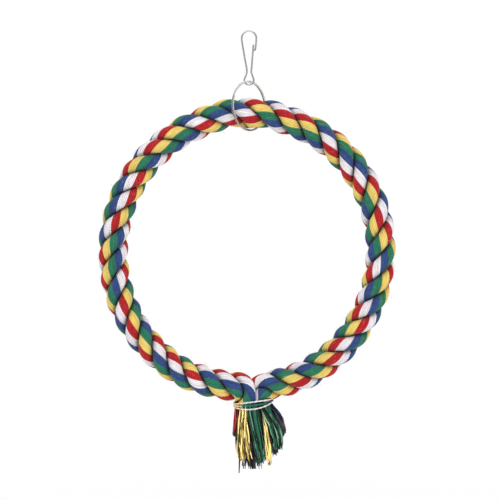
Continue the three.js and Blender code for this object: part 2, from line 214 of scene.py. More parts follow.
class Value:
    """A number that changes over a surface; sums on it add Math nodes."""

    def __init__(self, paint: "Paint", socket: bpy.types.NodeSocket) -> None:
        """Keeps the socket and the paint that it belongs to."""
        self.paint = paint
        self.socket = socket

    def _math(self, operation: str, *terms: Term) -> "Value":
        """Adds one Math node.

        Args:
            operation: The node's operation.
            terms: What goes into its sockets, in order.

        Returns:
            The node's result.
        """
        node = self.paint.add("ShaderNodeMath", {"operation": operation}, dict(enumerate(terms)))
        return Value(self.paint, node.outputs[0])

    def __add__(self, other: Term) -> "Value":
        """Adds on the right."""
        return self._math("ADD", self, other)

    def __radd__(self, other: float) -> "Value":
        """Adds on the left."""
        return self._math("ADD", other, self)

    def __sub__(self, other: Term) -> "Value":
        """Takes away the right term."""
        return self._math("SUBTRACT", self, other)

    def __rsub__(self, other: float) -> "Value":
        """Takes this away from the left term."""
        return self._math("SUBTRACT", other, self)

    def __mul__(self, other: Term) -> "Value":
        """Multiplies on the right."""
        return self._math("MULTIPLY", self, other)

    def __rmul__(self, other: float) -> "Value":
        """Multiplies on the left."""
        return self._math("MULTIPLY", other, self)

    def __pow__(self, power: float) -> "Value":
        """Raises to a power."""
        return self._math("POWER", self, power)

    def fraction(self) -> "Value":
        """Gives the part after the point."""
        return self._math("FRACT", self)

    def floor(self) -> "Value":
        """Rounds down."""
        return self._math("FLOOR", self)

    def sine(self) -> "Value":
        """Gives the sine of an angle in radians."""
        return self._math("SINE", self)

    def larger(self, other: Term) -> "Value":
        """Gives the larger of the two."""
        return self._math("MAXIMUM", self, other)

    def held(self) -> "Value":
        """Holds it between 0 and 1."""
        return self._math("MINIMUM", self.larger(0.0), 1.0)


class Paint:
    """The node tree of a material or of the world."""

    def __init__(self, tree: bpy.types.NodeTree, output: str) -> None:
        """Empties the tree and gives it an output node.

        Args:
            tree: The node tree.
            output: The type of its output node.
        """
        self.tree = tree
        tree.nodes.clear()
        self.output = self.add(output)

    def add(self, kind: str, settings: Optional[Mapping[str, Any]] = None,
            sockets: Optional[Mapping[Union[int, str], Any]] = None) -> bpy.types.Node:
        """Adds one node.

        Args:
            kind: The node's type.
            settings: Its settings, set first; stops are the places and colours of a ramp.
            sockets: The values or links of its sockets.

        Returns:
            The node.
        """
        node = self.tree.nodes.new(kind)
        for name, setting in (settings or {}).items():
            if name == "stops":
                self._set_stops(node, setting)
            else:
                setattr(node, name, setting)
        for name, term in (sockets or {}).items():
            source = term.socket if isinstance(term, Value) else term
            if isinstance(source, bpy.types.NodeSocket):
                self.tree.links.new(source, node.inputs[name])
            else:
                node.inputs[name].default_value = source
        return node

    @staticmethod
    def _set_stops(node: bpy.types.Node, stops: Sequence[tuple[float, Colour]]) -> None:
        """Sets the stops of a ramp, which goes from one to the next in one step.

        Args:
            node: The ramp.
            stops: Each stop's place and colour, in order.
        """
        node.color_ramp.interpolation = "CONSTANT"
        elements = node.color_ramp.elements
        while len(elements) < len(stops):
            elements.new(1.0)
        for element, (place, colour) in zip(elements, stops):
            element.position = place
            element.color = colour

    def run(self) -> tuple[Value, Value]:
        """Reads the piece's own UV map.

        Returns:
            The share of the way round the piece, and the share along it.
        """
        place = self.add("ShaderNodeUVMap", {"uv_map": UV_MAP})
        parts = self.add("ShaderNodeSeparateXYZ", None, {0: place.outputs[0]})
        return Value(self, parts.outputs[0]), Value(self, parts.outputs[1])

    def mark(self, name: str) -> Value:
        """Reads a number that the piece's points carry."""
        node = self.add("ShaderNodeAttribute", {"attribute_name": name})
        return Value(self, node.outputs["Fac"])

    def noise(self, scale: float, detail: float, place: Optional[bpy.types.NodeSocket] = None) -> Value:
        """Adds a soft noise.

        Args:
            scale: How fine it is.
            detail: How many finer noises it has on it.
            place: Where it is read; the piece's own place if none is given.

        Returns:
            The noise, about 0.5 on average.
        """
        source = place or self.add("ShaderNodeTexCoord").outputs["Object"]
        node = self.add("ShaderNodeTexNoise", None, {"Vector": source, "Scale": scale, "Detail": detail})
        return Value(self, node.outputs["Fac"])

    def chance(self, number: Value) -> Value:
        """Gives each whole number a value of its own from 0 to 1."""
        node = self.add("ShaderNodeTexWhiteNoise", {"noise_dimensions": "1D"}, {"W": number})
        return Value(self, node.outputs["Value"])

    def point(self, x: Value, y: Value, z: Term = 0.0) -> bpy.types.NodeSocket:
        """Joins three numbers to a place."""
        return self.add("ShaderNodeCombineXYZ", None, {0: x, 1: y, 2: z}).outputs[0]

    def ramp(self, at: Value, stops: Sequence[tuple[float, Colour]]) -> bpy.types.NodeSocket:
        """Reads a row of colours at a place from 0 to 1."""
        return self.add("ShaderNodeValToRGB", {"stops": stops}, {"Fac": at}).outputs["Color"]

    def mixed(self, colour: Any, other: Colour, share: Value) -> bpy.types.NodeSocket:
        """Mixes a share of another colour into a colour."""
        # Sockets 6 and 7 and output 2 are the node's colours
        return self.add("ShaderNodeMix", {"data_type": "RGBA"}, {0: share, 6: colour, 7: other}).outputs[2]

    def brightened(self, colour: Any, brightness: Value) -> bpy.types.NodeSocket:
        """Multiplies a colour by a number."""
        terms = {0: colour[:3] if isinstance(colour, tuple) else colour, "Scale": brightness}
        return self.add("ShaderNodeVectorMath", {"operation": "SCALE"}, terms).outputs[0]

    def bump(self, height: Value, depth: float, strength: float) -> bpy.types.NodeSocket:
        """Turns a height into a normal.

        Args:
            height: The height, from 0 to 1.
            depth: How deep that is, in metres.
            strength: How strongly it shows.

        Returns:
            The normal.
        """
        terms = {"Height": height, "Distance": depth, "Strength": strength}
        return self.add("ShaderNodeBump", None, terms).outputs["Normal"]

    def finish(self, kind: str, sockets: Mapping[Union[int, str], Any]) -> None:
        """Adds the last shader and joins it to the output.

        Args:
            kind: The shader's type.
            sockets: The values or links of its sockets.
        """
        shader = self.add(kind, None, sockets)
        self.tree.links.new(shader.outputs[0], self.output.inputs["Surface"])


def new_paint(name: str) -> tuple[bpy.types.Material, Paint]:
    """Makes an empty material.

    Args:
        name: Its name.

    Returns:
        The material and its node tree.
    """
    material = bpy.data.materials.new(name)
    material.use_nodes = True
    return material, Paint(material.node_tree, "ShaderNodeOutputMaterial")


@dataclass(frozen=True)
class Steel:
    """Steel wire with fine marks of handling and drawing.

    Fields:
        name: The material's name.
        tint: Its colour.
        rubbing: How fine the marks of handling are.
        brightness: The least brightness, and how much the marks add to it.
        roughness: The least roughness, and how much the marks add to it.
        depth: How deep its marks are.
        strength: How strongly they show.
        drawing: How many marks of drawing lie round it and along it, on a piece that has a UV map.
        rubbing_detail: How many finer marks the marks of handling have on them.
        drawing_detail: How many finer marks the marks of drawing have on them.
    """

    name: str
    tint: Colour
    rubbing: float
    brightness: tuple[float, float]
    roughness: tuple[float, float]
    depth: float
    strength: float
    drawing: Optional[tuple[float, float]] = None
    rubbing_detail: float = 4.0
    drawing_detail: float = 3.0

    def material(self) -> bpy.types.Material:
        """Makes the material.

        Returns:
            The steel.
        """
        material, paint = new_paint(self.name)
        rubbed = height = paint.noise(self.rubbing, self.rubbing_detail)
        if self.drawing:
            around, along = paint.run()
            place = paint.point(around * self.drawing[0], along * self.drawing[1])
            height = paint.noise(1.0, self.drawing_detail, place)
        paint.finish("ShaderNodeBsdfPrincipled", {
            "Base Color": paint.brightened(self.tint, self.brightness[0] + self.brightness[1] * rubbed),
            "Metallic": 1.0,
            "Roughness": self.roughness[0] + self.roughness[1] * rubbed,
            "Normal": paint.bump(height, self.depth, self.strength),
        })
        return material


PLATED_STEEL = Steel(
    "plated_steel", tint=(0.66, 0.66, 0.64, 1.0), rubbing=900.0, brightness=(0.92, 0.16),
    roughness=(0.05, 0.12), depth=0.02 * MM, strength=0.25, drawing=(9.0, 40.0))
CORE_STEEL = Steel(
    "core_steel", tint=grey(0.3), rubbing=600.0, brightness=(0.8, 0.4), roughness=(0.4, 0.2),
    depth=0.05 * MM, strength=0.3)


@dataclass(frozen=True)
class Grain:
    """A noise over the yarns of a piece.

    Fields:
        apart: How far it differs from one yarn to the next.
        along: How fine it is along a yarn.
        across: How fine it is across a yarn.
        detail: How many finer noises it has on it.
    """

    apart: float
    along: float
    across: float
    detail: float

    def over(self, paint: Paint, number: Value, run: Value, across: Value) -> Value:
        """Lays the noise over the yarns.

        Args:
            paint: The node tree.
            number: The yarn's number.
            run: How far along the yarn a place is.
            across: The share of the way across the yarn.

        Returns:
            The noise.
        """
        place = paint.point(number * self.apart, run * self.along, across * self.across)
        return paint.noise(1.0, self.detail, place)


@dataclass(frozen=True)
class Cotton:
    """Soft matt cotton: yarns side by side round a piece, each twisted from fine fibres.

    Fields:
        name: The material's name.
        yarns: How many yarns lie round the piece.
        length: The length of the piece along its yarns.
        tones: The colours that follow each other.
        rounds: How often the row of colours is passed going once round, or along, the piece.
        lengthways: Whether the colours follow each other along the piece.
        stagger: How far the places of those colours differ between yarns.
        teeth: How far the fibres of two colours reach into each other, in yarns.
        twist: The length of one twist of the fibres.
        twist_slant: How much of a twist goes across the yarn.
        plies: How many plies a yarn has.
        ply_length: The length in which the plies go once round each other.
        shade: How bright the yarn is against its tone; below one it is painted shade.
        variety: How much the brightness differs between yarns.
        painted_highlight: How much paler and brighter the yarns with a painted highlight are.
        painted_shadow: How much painted shadow darkens a share of the yarns picked by chance, as if they lay
            deep.
        few: The share of the yarns that get a painted highlight, and the share that get a painted shadow.
        few_edge: How sharply those are told from the others.
        painted_groove_shade: How much painted shade darkens the bottom of a groove.
        pale: The colour of stray fibres and of the painted highlights.
        pale_share: How much of that colour they take.
        uneven: How a yarn's thickness and dye differ along it.
        fibre: The fibres of a yarn.
        stray: The fibres that have come loose.
        stray_start: Where that noise is high enough for a loose fibre.
        stray_edge: How sharply a loose fibre shows.
        least_light: The brightness that a yarn has without its crown, unevenness, fibres and twist.
        crown_light: What the crown of a yarn adds to it: painted light on its middle, leaving its edges
            darker.
        uneven_light: What the unevenness adds.
        fibre_light: What the fibres add.
        twist_light: What the twist adds.
        heights: The shares of the twist, the fibres and the crown in the surface's height.
        roughness: The least roughness, and how much the fibres add to it.
        gloss: How strongly the fibres reflect.
        sheen: How strongly the fuzz of the surface shines, and how rough that shine is.
        depth: How deep the fibres and the twist are.
        strength: How strongly they show.
    """

    name: str
    yarns: int
    length: float
    tones: tuple[Tone, ...]
    rounds: float = 1.0
    lengthways: bool = False
    stagger: float = 0.0
    teeth: float = 0.4
    twist: float = 1.7 * MM
    twist_slant: float = 0.8
    plies: int = 1
    ply_length: float = math.inf
    shade: float = 1.0
    variety: float = 0.26
    painted_highlight: float = 0.0
    painted_shadow: float = 0.0
    few: float = 0.34
    few_edge: float = 7.0
    painted_groove_shade: float = 0.5
    pale: Colour = (0.70, 0.72, 0.66, 1.0)
    pale_share: float = 0.16
    uneven: Grain = Grain(3.7, 260.0, 0.6, 2.0)
    fibre: Grain = Grain(5.3, 1500.0, 4.0, 3.0)
    stray: Grain = Grain(7.1, 520.0, 1.6, 3.0)
    stray_start: float = 0.56
    stray_edge: float = 4.0
    least_light: float = 0.12
    crown_light: float = 0.5
    uneven_light: float = 0.7
    fibre_light: float = 0.3
    twist_light: float = 0.2
    heights: tuple[float, float, float] = (0.5, 0.3, 0.2)
    roughness: tuple[float, float] = (0.82, 0.14)
    gloss: float = 0.18
    sheen: tuple[float, float] = (0.18, 0.5)
    depth: float = 0.2 * MM
    strength: float = 0.55

    def _colour(self, paint: Paint, around: Value, along: Value, own: Value, twist: Value) -> Any:
        """Picks the yarn's colour.

        Args:
            paint: The node tree.
            around: The share of the way round.
            along: The share along.
            own: The yarn's own number, from 0 to 1.
            twist: How the fibres' twist rises and falls, from 0 to 1.

        Returns:
            A colour, or the socket that gives one.
        """
        if len(self.tones) == 1:
            return self.tones[0].linear
        stops = [(index / len(self.tones), tone.linear) for index, tone in enumerate(self.tones)]
        staggered = along * (1.0 - self.stagger) + own * self.stagger
        toothed = around + (twist - 0.5) * (self.teeth / self.yarns)
        place = (staggered if self.lengthways else toothed) * self.rounds
        return paint.ramp(place.fraction(), stops)

    def material(self) -> bpy.types.Material:
        """Makes the material.

        Returns:
            The cotton, whose fibres, yarns and colours follow the piece's own UV map and marks.
        """
        material, paint = new_paint(self.name)
        around, along = paint.run()
        run = along * self.length
        number = (around * float(self.yarns)).floor() + paint.mark(OWN_MARK).floor()
        across = (around * float(self.yarns * self.plies) + run * (self.plies / self.ply_length)).fraction()
        own = paint.chance(number)
        uneven, fibre, stray = (
            grain.over(paint, number, run, across) for grain in (self.uneven, self.fibre, self.stray))
        # One along the yarn's middle, and nothing at its two edges; in the colour it is painted light and
        # shade
        crown = 4.0 * across * (1.0 - across)
        slant = across * self.twist_slant + run * (1.0 / self.twist) + own
        twist = 0.5 + 0.5 * (slant * FULL_TURN).sine()
        fleck = ((stray - self.stray_start) * self.stray_edge).held()
        # Painted highlight on a share of the yarns picked by chance, paler and brighter
        painted_highlight_share = ((own - (1.0 - self.few)) * self.few_edge).held() * self.painted_highlight
        # Painted shadow on another share of the yarns picked by chance, as if they lay deep in the lock
        painted_shadow_share = ((self.few - own) * self.few_edge).held() * self.painted_shadow
        light = self.least_light + self.crown_light * crown + self.variety * (own - 0.5)
        light = light + self.uneven_light * uneven + self.fibre_light * fibre + self.twist_light * twist
        shaded = self.shade * (light + painted_highlight_share) * (1.0 - painted_shadow_share)
        # Painted shade at the bottom of the grooves between the strands
        shaded = shaded * (1.0 - self.painted_groove_shade * paint.mark(SUNK_MARK))
        colour = self._colour(paint, around, along, own, twist)
        height = self.heights[0] * twist + self.heights[1] * fibre + self.heights[2] * crown
        paint.finish("ShaderNodeBsdfPrincipled", {
            "Base Color": paint.brightened(
                paint.mixed(colour, self.pale, self.pale_share * (fleck + painted_highlight_share)), shaded),
            "Roughness": self.roughness[0] + self.roughness[1] * fibre,
            "Specular IOR Level": self.gloss,
            "Sheen Weight": self.sheen[0],
            "Sheen Roughness": self.sheen[1],
            "Normal": paint.bump(height, self.depth, self.strength),
        })
        return material


class TubeForm:
    """Closed tubes in one bmesh, each bent from a flat grid that keeps its UV map.

    A grid's columns run along its tube and its rows lie round it.
    """

    def __init__(self) -> None:
        """Starts an empty form."""
        self.form = bmesh.new()
        self.run = self.form.loops.layers.uv.new(UV_MAP)
        self.own = self.form.verts.layers.float.new(OWN_MARK)
        self.sunk = self.form.verts.layers.float.new(SUNK_MARK)

    def add(self, columns: int, rows: int, place: Placing, number: int = 0,
            root: Optional[tuple[float, float]] = None) -> None:
        """Adds one tube.

        Args:
            columns: How many faces lie round it.
            rows: How many faces lie along it.
            place: Gives the points for shares of the way round and along, and how far each is sunk.
            number: The tube's own number.
            root: The one place of the UV map that all of it takes, if it has none of its own.
        """
        grid = bmesh.ops.create_grid(self.form, x_segments=columns, y_segments=rows, size=0.5, calc_uvs=True)
        shares = np.array([vert.co.xy for vert in grid["verts"]]) + 0.5
        points, sunk = place(shares[:, 0], shares[:, 1])
        for vert, point, depth in zip(grid["verts"], points, np.broadcast_to(sunk, len(points))):
            vert.co = point
            vert[self.own] = number + 0.5
            vert[self.sunk] = depth
            if root:
                for loop in vert.link_loops:
                    loop[self.run].uv = root

    def close(self, name: str) -> bpy.types.Object:
        """Joins the seams, closes the ends and makes the piece.

        Args:
            name: The piece's name.

        Returns:
            The piece.
        """
        bmesh.ops.remove_doubles(self.form, verts=self.form.verts, dist=MERGE_DISTANCE)
        rims = [edge for edge in self.form.edges if edge.is_boundary]
        bmesh.ops.holes_fill(self.form, edges=rims, sides=0)
        bmesh.ops.recalc_face_normals(self.form, faces=self.form.faces)
        piece = formed(name, self.form)
        piece.data.shade_smooth()
        piece.data.set_sharp_from_angle(angle=SHARP_EDGE)
        return piece


class Route:
    """A line through space that a tube follows."""

    def __init__(self, points: np.ndarray, across: Sequence[float]) -> None:
        """Measures the line.

        Args:
            points: Its points, one a row.
            across: A direction that the line never runs along.
        """
        steps = np.linalg.norm(np.diff(points, axis=0), axis=1)
        apart = steps > LEAST_STEP
        self.points = points[np.concatenate(([True], apart))]
        self.run = np.concatenate(([0.0], np.cumsum(steps[apart])))
        self.ways = np.gradient(self.points, self.run, axis=0)
        self.across = np.asarray(across, dtype=float)

    @property
    def length(self) -> float:
        """Gives the line's length."""
        return float(self.run[-1])

    def at(self, distance: np.ndarray) -> tuple[np.ndarray, np.ndarray]:
        """Finds places along the line.

        Args:
            distance: How far along each place is.

        Returns:
            The places, and the way that the line goes there.
        """
        middle = np.column_stack([np.interp(distance, self.run, part) for part in self.points.T])
        way = np.column_stack([np.interp(distance, self.run, part) for part in self.ways.T])
        return middle, way / np.linalg.norm(way, axis=1, keepdims=True)

    def around(self, turn: np.ndarray, distance: np.ndarray, radius: np.ndarray) -> np.ndarray:
        """Finds places on a tube about the line.

        Args:
            turn: The share of the way round the tube.
            distance: How far along each place is.
            radius: How far from the line it is.

        Returns:
            The places.
        """
        middle, way = self.at(distance)
        side = np.cross(way, self.across)
        side /= np.linalg.norm(side, axis=1, keepdims=True)
        up = np.cross(side, way)
        angle = FULL_TURN * turn
        out = np.cos(angle)[:, None] * side + np.sin(angle)[:, None] * up
        return middle + radius[:, None] * out


@dataclass(frozen=True)
class RoundWire:
    """The placing of a round wire whose cut ends are eased.

    Fields:
        route: The wire's middle line.
        diameter: The wire's diameter.
        end_reach: The length over which an end is eased, in diameters.
        end_width: How wide the end itself is, in diameters.
    """

    route: Route
    diameter: float
    end_reach: float = 0.3
    end_width: float = 0.55

    def __call__(self, around: np.ndarray, along: np.ndarray) -> Placed:
        """Places points on the wire.

        Args:
            around: The share of the way round it.
            along: The share along it.

        Returns:
            The points, none of them sunk.
        """
        distance = along * self.route.length
        to_end = np.minimum(distance, self.route.length - distance) / (self.end_reach * self.diameter)
        ease = np.sqrt(1.0 - (1.0 - np.clip(to_end, 0.0, 1.0)) ** 2)
        width = self.end_width + (1.0 - self.end_width) * ease
        return self.route.around(around, distance, 0.5 * self.diameter * width), 0.0


def settle(piece: bpy.types.Object, body: str, node: Optional[str], slot: str,
           material: bpy.types.Material) -> None:
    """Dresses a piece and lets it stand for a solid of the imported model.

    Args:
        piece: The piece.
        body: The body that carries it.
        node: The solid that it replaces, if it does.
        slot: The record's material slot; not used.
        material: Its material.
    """
    piece.data.materials.append(material)
    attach(piece, body)
    if node:
        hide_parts(node)
    log.info("%s: %d faces, on %s", piece.name, len(piece.data.polygons), body)


@dataclass
class SnapHook:
    """One bent wire: catch, top bend, fixed leg, waist and eye, and the sprung leg that is the gate."""

    steel: bpy.types.Material
    wire: float = 1.2 * MM
    drawn: float = 1.08 * MM  # the wire as it shows
    room: float = 8.0 * MM  # inside the top bend
    waist_drop: float = 25.6 * MM
    waist_room: float = 1.6 * MM  # between the two legs
    eye_drop: float = 4.7 * MM
    eye_room: float = 4.8 * MM
    catch_drop: float = 10.0 * MM
    catch_turn: float = 1.6 * MM
    catch_lip: float = 2.1 * MM
    lip_rise: float = 0.3 * MM
    shoulder: tuple[float, float] = (1.0 / 8.0, 1.0 / 3.0)  # in from the arm, and up: of the lip and turn
    gate_tip_drop: float = 7.9 * MM
    gate_tip_inset: float = 0.3 * MM
    gate_foot: float = 0.36 * MM  # below the waist
    clearance: float = 0.3 * MM
    line_steps: int = 12
    top_steps: int = 10
    eye_steps: int = 8
    sides: int = 16
    hook_rows: int = 320
    gate_rows: int = 60

    @property
    def half(self) -> float:
        """Gives the top bend's radius at the wire's middle."""
        return 0.5 * (self.room + self.wire)

    @property
    def waist_half(self) -> float:
        """Gives half the distance between the two legs at the waist."""
        return 0.5 * (self.waist_room + self.wire)

    def _gate_x(self, z: float) -> float:
        """Finds the gate's middle at a height.

        Args:
            z: The height.

        Returns:
            How far to the right the gate is there.
        """
        tip = self.half - self.wire - self.clearance - self.gate_tip_inset
        share = (z + self.waist_drop) / (self.waist_drop - self.gate_tip_drop)
        return self.waist_half + (tip - self.waist_half) * share

    def _hook_line(self) -> np.ndarray:
        """Draws the middle line of the bent wire, from the lip of the catch to the eye's end.

        Returns:
            The line's points.
        """
        arm = self._gate_x(-self.catch_drop) + self.wire + self.clearance
        lip = self.wire + self.clearance
        low = -self.catch_drop - self.catch_turn
        bend = 0.5 * self.wire - self.half
        shoulder_in, shoulder_up = self.shoulder
        catch = np.array([
            (arm - self.catch_lip, lip, low + self.lip_rise),
            (arm - 0.5 * self.catch_lip, lip, low),
            (arm - shoulder_in * self.catch_lip, 0.5 * lip, low + shoulder_up * self.catch_turn),
            (arm, 0.0, -self.catch_drop),
        ])
        over = Vector((0.0, 0.0, bend))
        top = front_arc(over, self.half, self.half, QUARTER_TURN, -QUARTER_TURN, self.top_steps)
        legs = np.array([
            (-0.5 * (self.half + self.waist_half), 0.0, 0.5 * (bend - self.waist_drop)),
            (-self.waist_half, 0.0, -self.waist_drop),
        ])
        radius = 0.5 * (self.eye_room + self.wire)
        centre = Vector((0.0, 0.0, -self.waist_drop - self.eye_drop))
        eye = front_arc(centre, radius, radius, -QUARTER_TURN, -3.0 * QUARTER_TURN, self.eye_steps)
        end = np.array([(self.waist_half, 0.0, -self.waist_drop)])
        return smooth_line(np.vstack((catch, top, legs, eye, end)), self.line_steps)

    def build(self) -> None:
        """Builds the bent wire and the gate."""
        hook = TubeForm()
        hook.add(self.sides, self.hook_rows, RoundWire(Route(self._hook_line(), TO_BACK), self.drawn))
        settle(hook.close("bent_hook_wire"), "hook", "hook_wire", "plated_steel", self.steel)
        foot = (self.waist_half, 0.0, -self.waist_drop - self.gate_foot)
        tip = (self._gate_x(-self.gate_tip_drop), 0.0, -self.gate_tip_drop)
        gate = TubeForm()
        gate.add(self.sides, self.gate_rows, RoundWire(Route(np.array([foot, tip]), TO_BACK), self.drawn))
        settle(gate.close("sprung_gate_leg"), "gate", "gate_leg", "plated_steel", self.steel)


@dataclass
class SplitRing:
    """Two turns of flat wire, which step over from one side to the other."""

    steel: bpy.types.Material
    bore: float = 29.4 * MM
    band_height: float = 1.2 * MM
    band_width: float = 0.5 * MM
    turn_gap: float = 0.3 * MM
    yaw: float = math.radians(41.0)  # from square across the rope, left side to the front
    step_at: float = math.radians(-53.0)
    step_arc: float = math.radians(30.0)
    squareness: float = 2.8  # of the flat wire's section, which is an oval at 2
    sides: int = 24
    rows: int = 360

    def _place(self, around: np.ndarray, along: np.ndarray) -> Placed:
        """Places points on the flat wire.

        Args:
            around: The share of the way round the wire's section.
            along: The share along the wire.

        Returns:
            The points, none of them sunk.
        """
        low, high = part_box("split_ring")
        centre = 0.5 * (low + high)
        reach = FULL_TURN - 0.5 * self.step_arc
        past_step = reach * (2.0 * along - 1.0)
        angle = self.step_at + past_step
        side = eased(past_step / self.step_arc + 0.5) - 0.5
        turn = FULL_TURN * around
        out, aside = (np.sign(part) * np.abs(part) ** (2.0 / self.squareness)
                      for part in (np.cos(turn), np.sin(turn)))
        radius = 0.5 * (self.bore + self.band_height) + 0.5 * self.band_height * out
        along_bore = side * (self.band_width + self.turn_gap) + 0.5 * self.band_width * aside
        x, y = turned(along_bore, radius * np.sin(angle), -self.yaw)
        return np.column_stack((x, y, radius * np.cos(angle))) + np.array(centre), 0.0

    def build(self) -> None:
        """Builds the ring."""
        ring = TubeForm()
        ring.add(self.sides, self.rows, self._place)
        settle(ring.close("flat_wire_split_ring"), "split_ring", "split_ring", "plated_steel", self.steel)


@dataclass
class RopeLine:
    """The rope's middle line: up the left end, clockwise round the ring and down the right end."""

    top: Vector
    height: float = 190.5 * MM
    width: float = 186.0 * MM
    rope: float = 18.0 * MM
    ring_side: float = -1.6 * MM  # from the hook's middle to the ring's
    neck_width: float = 23.0 * MM
    neck_side: float = 4.4 * MM  # from the ring's middle to the neck's
    bend: float = 9.5 * MM
    leg_offset: float = 2.65 * MM
    clearance: float = 0.3 * MM
    uneven: tuple[tuple[float, float], ...] = (  # how far the ring hangs out of round, wave by wave
        (0.0, 0.0), (-1.0 * MM, 0.3 * MM), (-0.1 * MM, 0.4 * MM), (-0.15 * MM, 0.0))
    top_hold: float = math.radians(7.5)  # how near its top and its neck it stays a true oval
    top_ease: float = math.radians(14.0)
    neck_hold: float = math.radians(11.0)
    neck_ease: float = math.radians(18.0)
    ring_steps: int = 1440
    bend_steps: int = 48
    leg_points: int = 24
    bend_rounds: int = 12  # of trying where the ring ends
    route: Route = field(init=False)
    centre: Vector = field(init=False)
    neck_x: float = field(init=False)
    end_z: float = field(init=False)
    ring_from: float = field(init=False)
    ring_to: float = field(init=False)
    top_at: float = field(init=False)

    def __post_init__(self) -> None:
        """Works out the ring, the two bends and the two ends."""
        self.centre = self.top + Vector((self.ring_side, 0.0, -self.half_height))
        self.neck_x = self.centre.x + self.neck_side
        self.end_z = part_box("rope_strand_1")[0].z
        to_bend = self.bend + self.leg_offset
        left_angle, left_square, left_z = self._leave(to_bend - self.neck_side)
        right_angle, right_square, right_z = self._leave(to_bend + self.neck_side)
        left_x, right_x = self.neck_x - self.leg_offset, self.neck_x + self.leg_offset
        left = Vector((left_x - self.bend, 0.0, left_z))
        right = Vector((right_x + self.bend, 0.0, right_z))
        leading = np.vstack((
            np.linspace((left_x, 0.0, self.end_z), (left_x, 0.0, left_z), self.leg_points),
            front_arc(left, self.bend, self.bend, QUARTER_TURN, left_square, self.bend_steps),
        ))
        trailing = np.vstack((
            front_arc(right, self.bend, self.bend, -right_square, -QUARTER_TURN, self.bend_steps),
            np.linspace((right_x, 0.0, right_z), (right_x, 0.0, self.end_z), self.leg_points),
        ))
        ring_left = self._ring(left_angle - math.pi, 0.0)
        ring_right = self._ring(0.0, math.pi - right_angle)
        self.route = Route(np.vstack((leading, ring_left, ring_right, trailing)), TO_BACK)
        self.ring_from = Route(leading, TO_BACK).length
        self.ring_to = self.route.length - Route(trailing, TO_BACK).length
        self.top_at = self.ring_from + Route(ring_left, TO_BACK).length

    @property
    def half_width(self) -> float:
        """Gives half the ring's width at the rope's middle."""
        return 0.5 * (self.width - self.rope)

    @property
    def half_height(self) -> float:
        """Gives half the ring's height at the rope's middle."""
        return 0.5 * (self.height - self.rope)

    def _ring(self, start: float, end: float) -> np.ndarray:
        """Draws a stretch of the ring, which hangs a little uneven between its top and its neck.

        Args:
            start: The angle of the first point, clockwise from the top.
            end: The angle of the last point.

        Returns:
            The points.
        """
        points = front_arc(self.centre, self.half_width, self.half_height, start, end, self.ring_steps)
        angle = np.linspace(start, end, self.ring_steps + 1)
        from_top = np.abs(angle)
        held = eased((from_top - self.top_hold) / self.top_ease)
        held *= eased((math.pi - from_top - self.neck_hold) / self.neck_ease)
        waves = sum(level * np.cos(count * angle) + side * np.sin(count * angle)
                    for count, (level, side) in enumerate(self.uneven))
        out = np.column_stack((
            np.sin(angle) / self.half_width, np.zeros_like(angle), np.cos(angle) / self.half_height))
        return points + out * (held * waves / np.linalg.norm(out, axis=1))[:, None]

    def _leave(self, reach: float) -> tuple[float, float, float]:
        """Works out where the ring ends and the rope bends down.

        Args:
            reach: How far the bend's middle is from the ring's middle.

        Returns:
            The angle on the ring and the way square to it, both from the bottom, and the bend's height.
        """
        angle = square = 0.0
        for _ in range(self.bend_rounds):
            angle = math.asin((reach - self.bend * math.sin(square)) / self.half_width)
            square = math.atan2(self.half_height * math.sin(angle), self.half_width * math.cos(angle))
        drop = self.half_height * math.cos(angle) + self.bend * math.cos(square)
        return angle, square, self.centre.z - drop


@dataclass(frozen=True)
class StrandColours:
    """Where the colours of one strand start, and how they drift round the ring, in yarn bands.

    Fields:
        start: The band on the strand's crown to start from.
        side: The drift from the left of the ring to its right.
        fall: The drift from the top of the ring to its bottom.
        slant: The drift from one slant of the ring to the other.
        left_turn: The drift towards the rope's left end.
        right_turn: The drift towards its right end.
    """

    start: float
    side: float
    fall: float
    slant: float
    left_turn: float
    right_turn: float

    def drift(self, angle: np.ndarray) -> np.ndarray:
        """Gives the drift at angles counted clockwise from the top."""
        return self.side * np.sin(angle) + self.fall * np.cos(angle) + self.slant * np.sin(2.0 * angle)


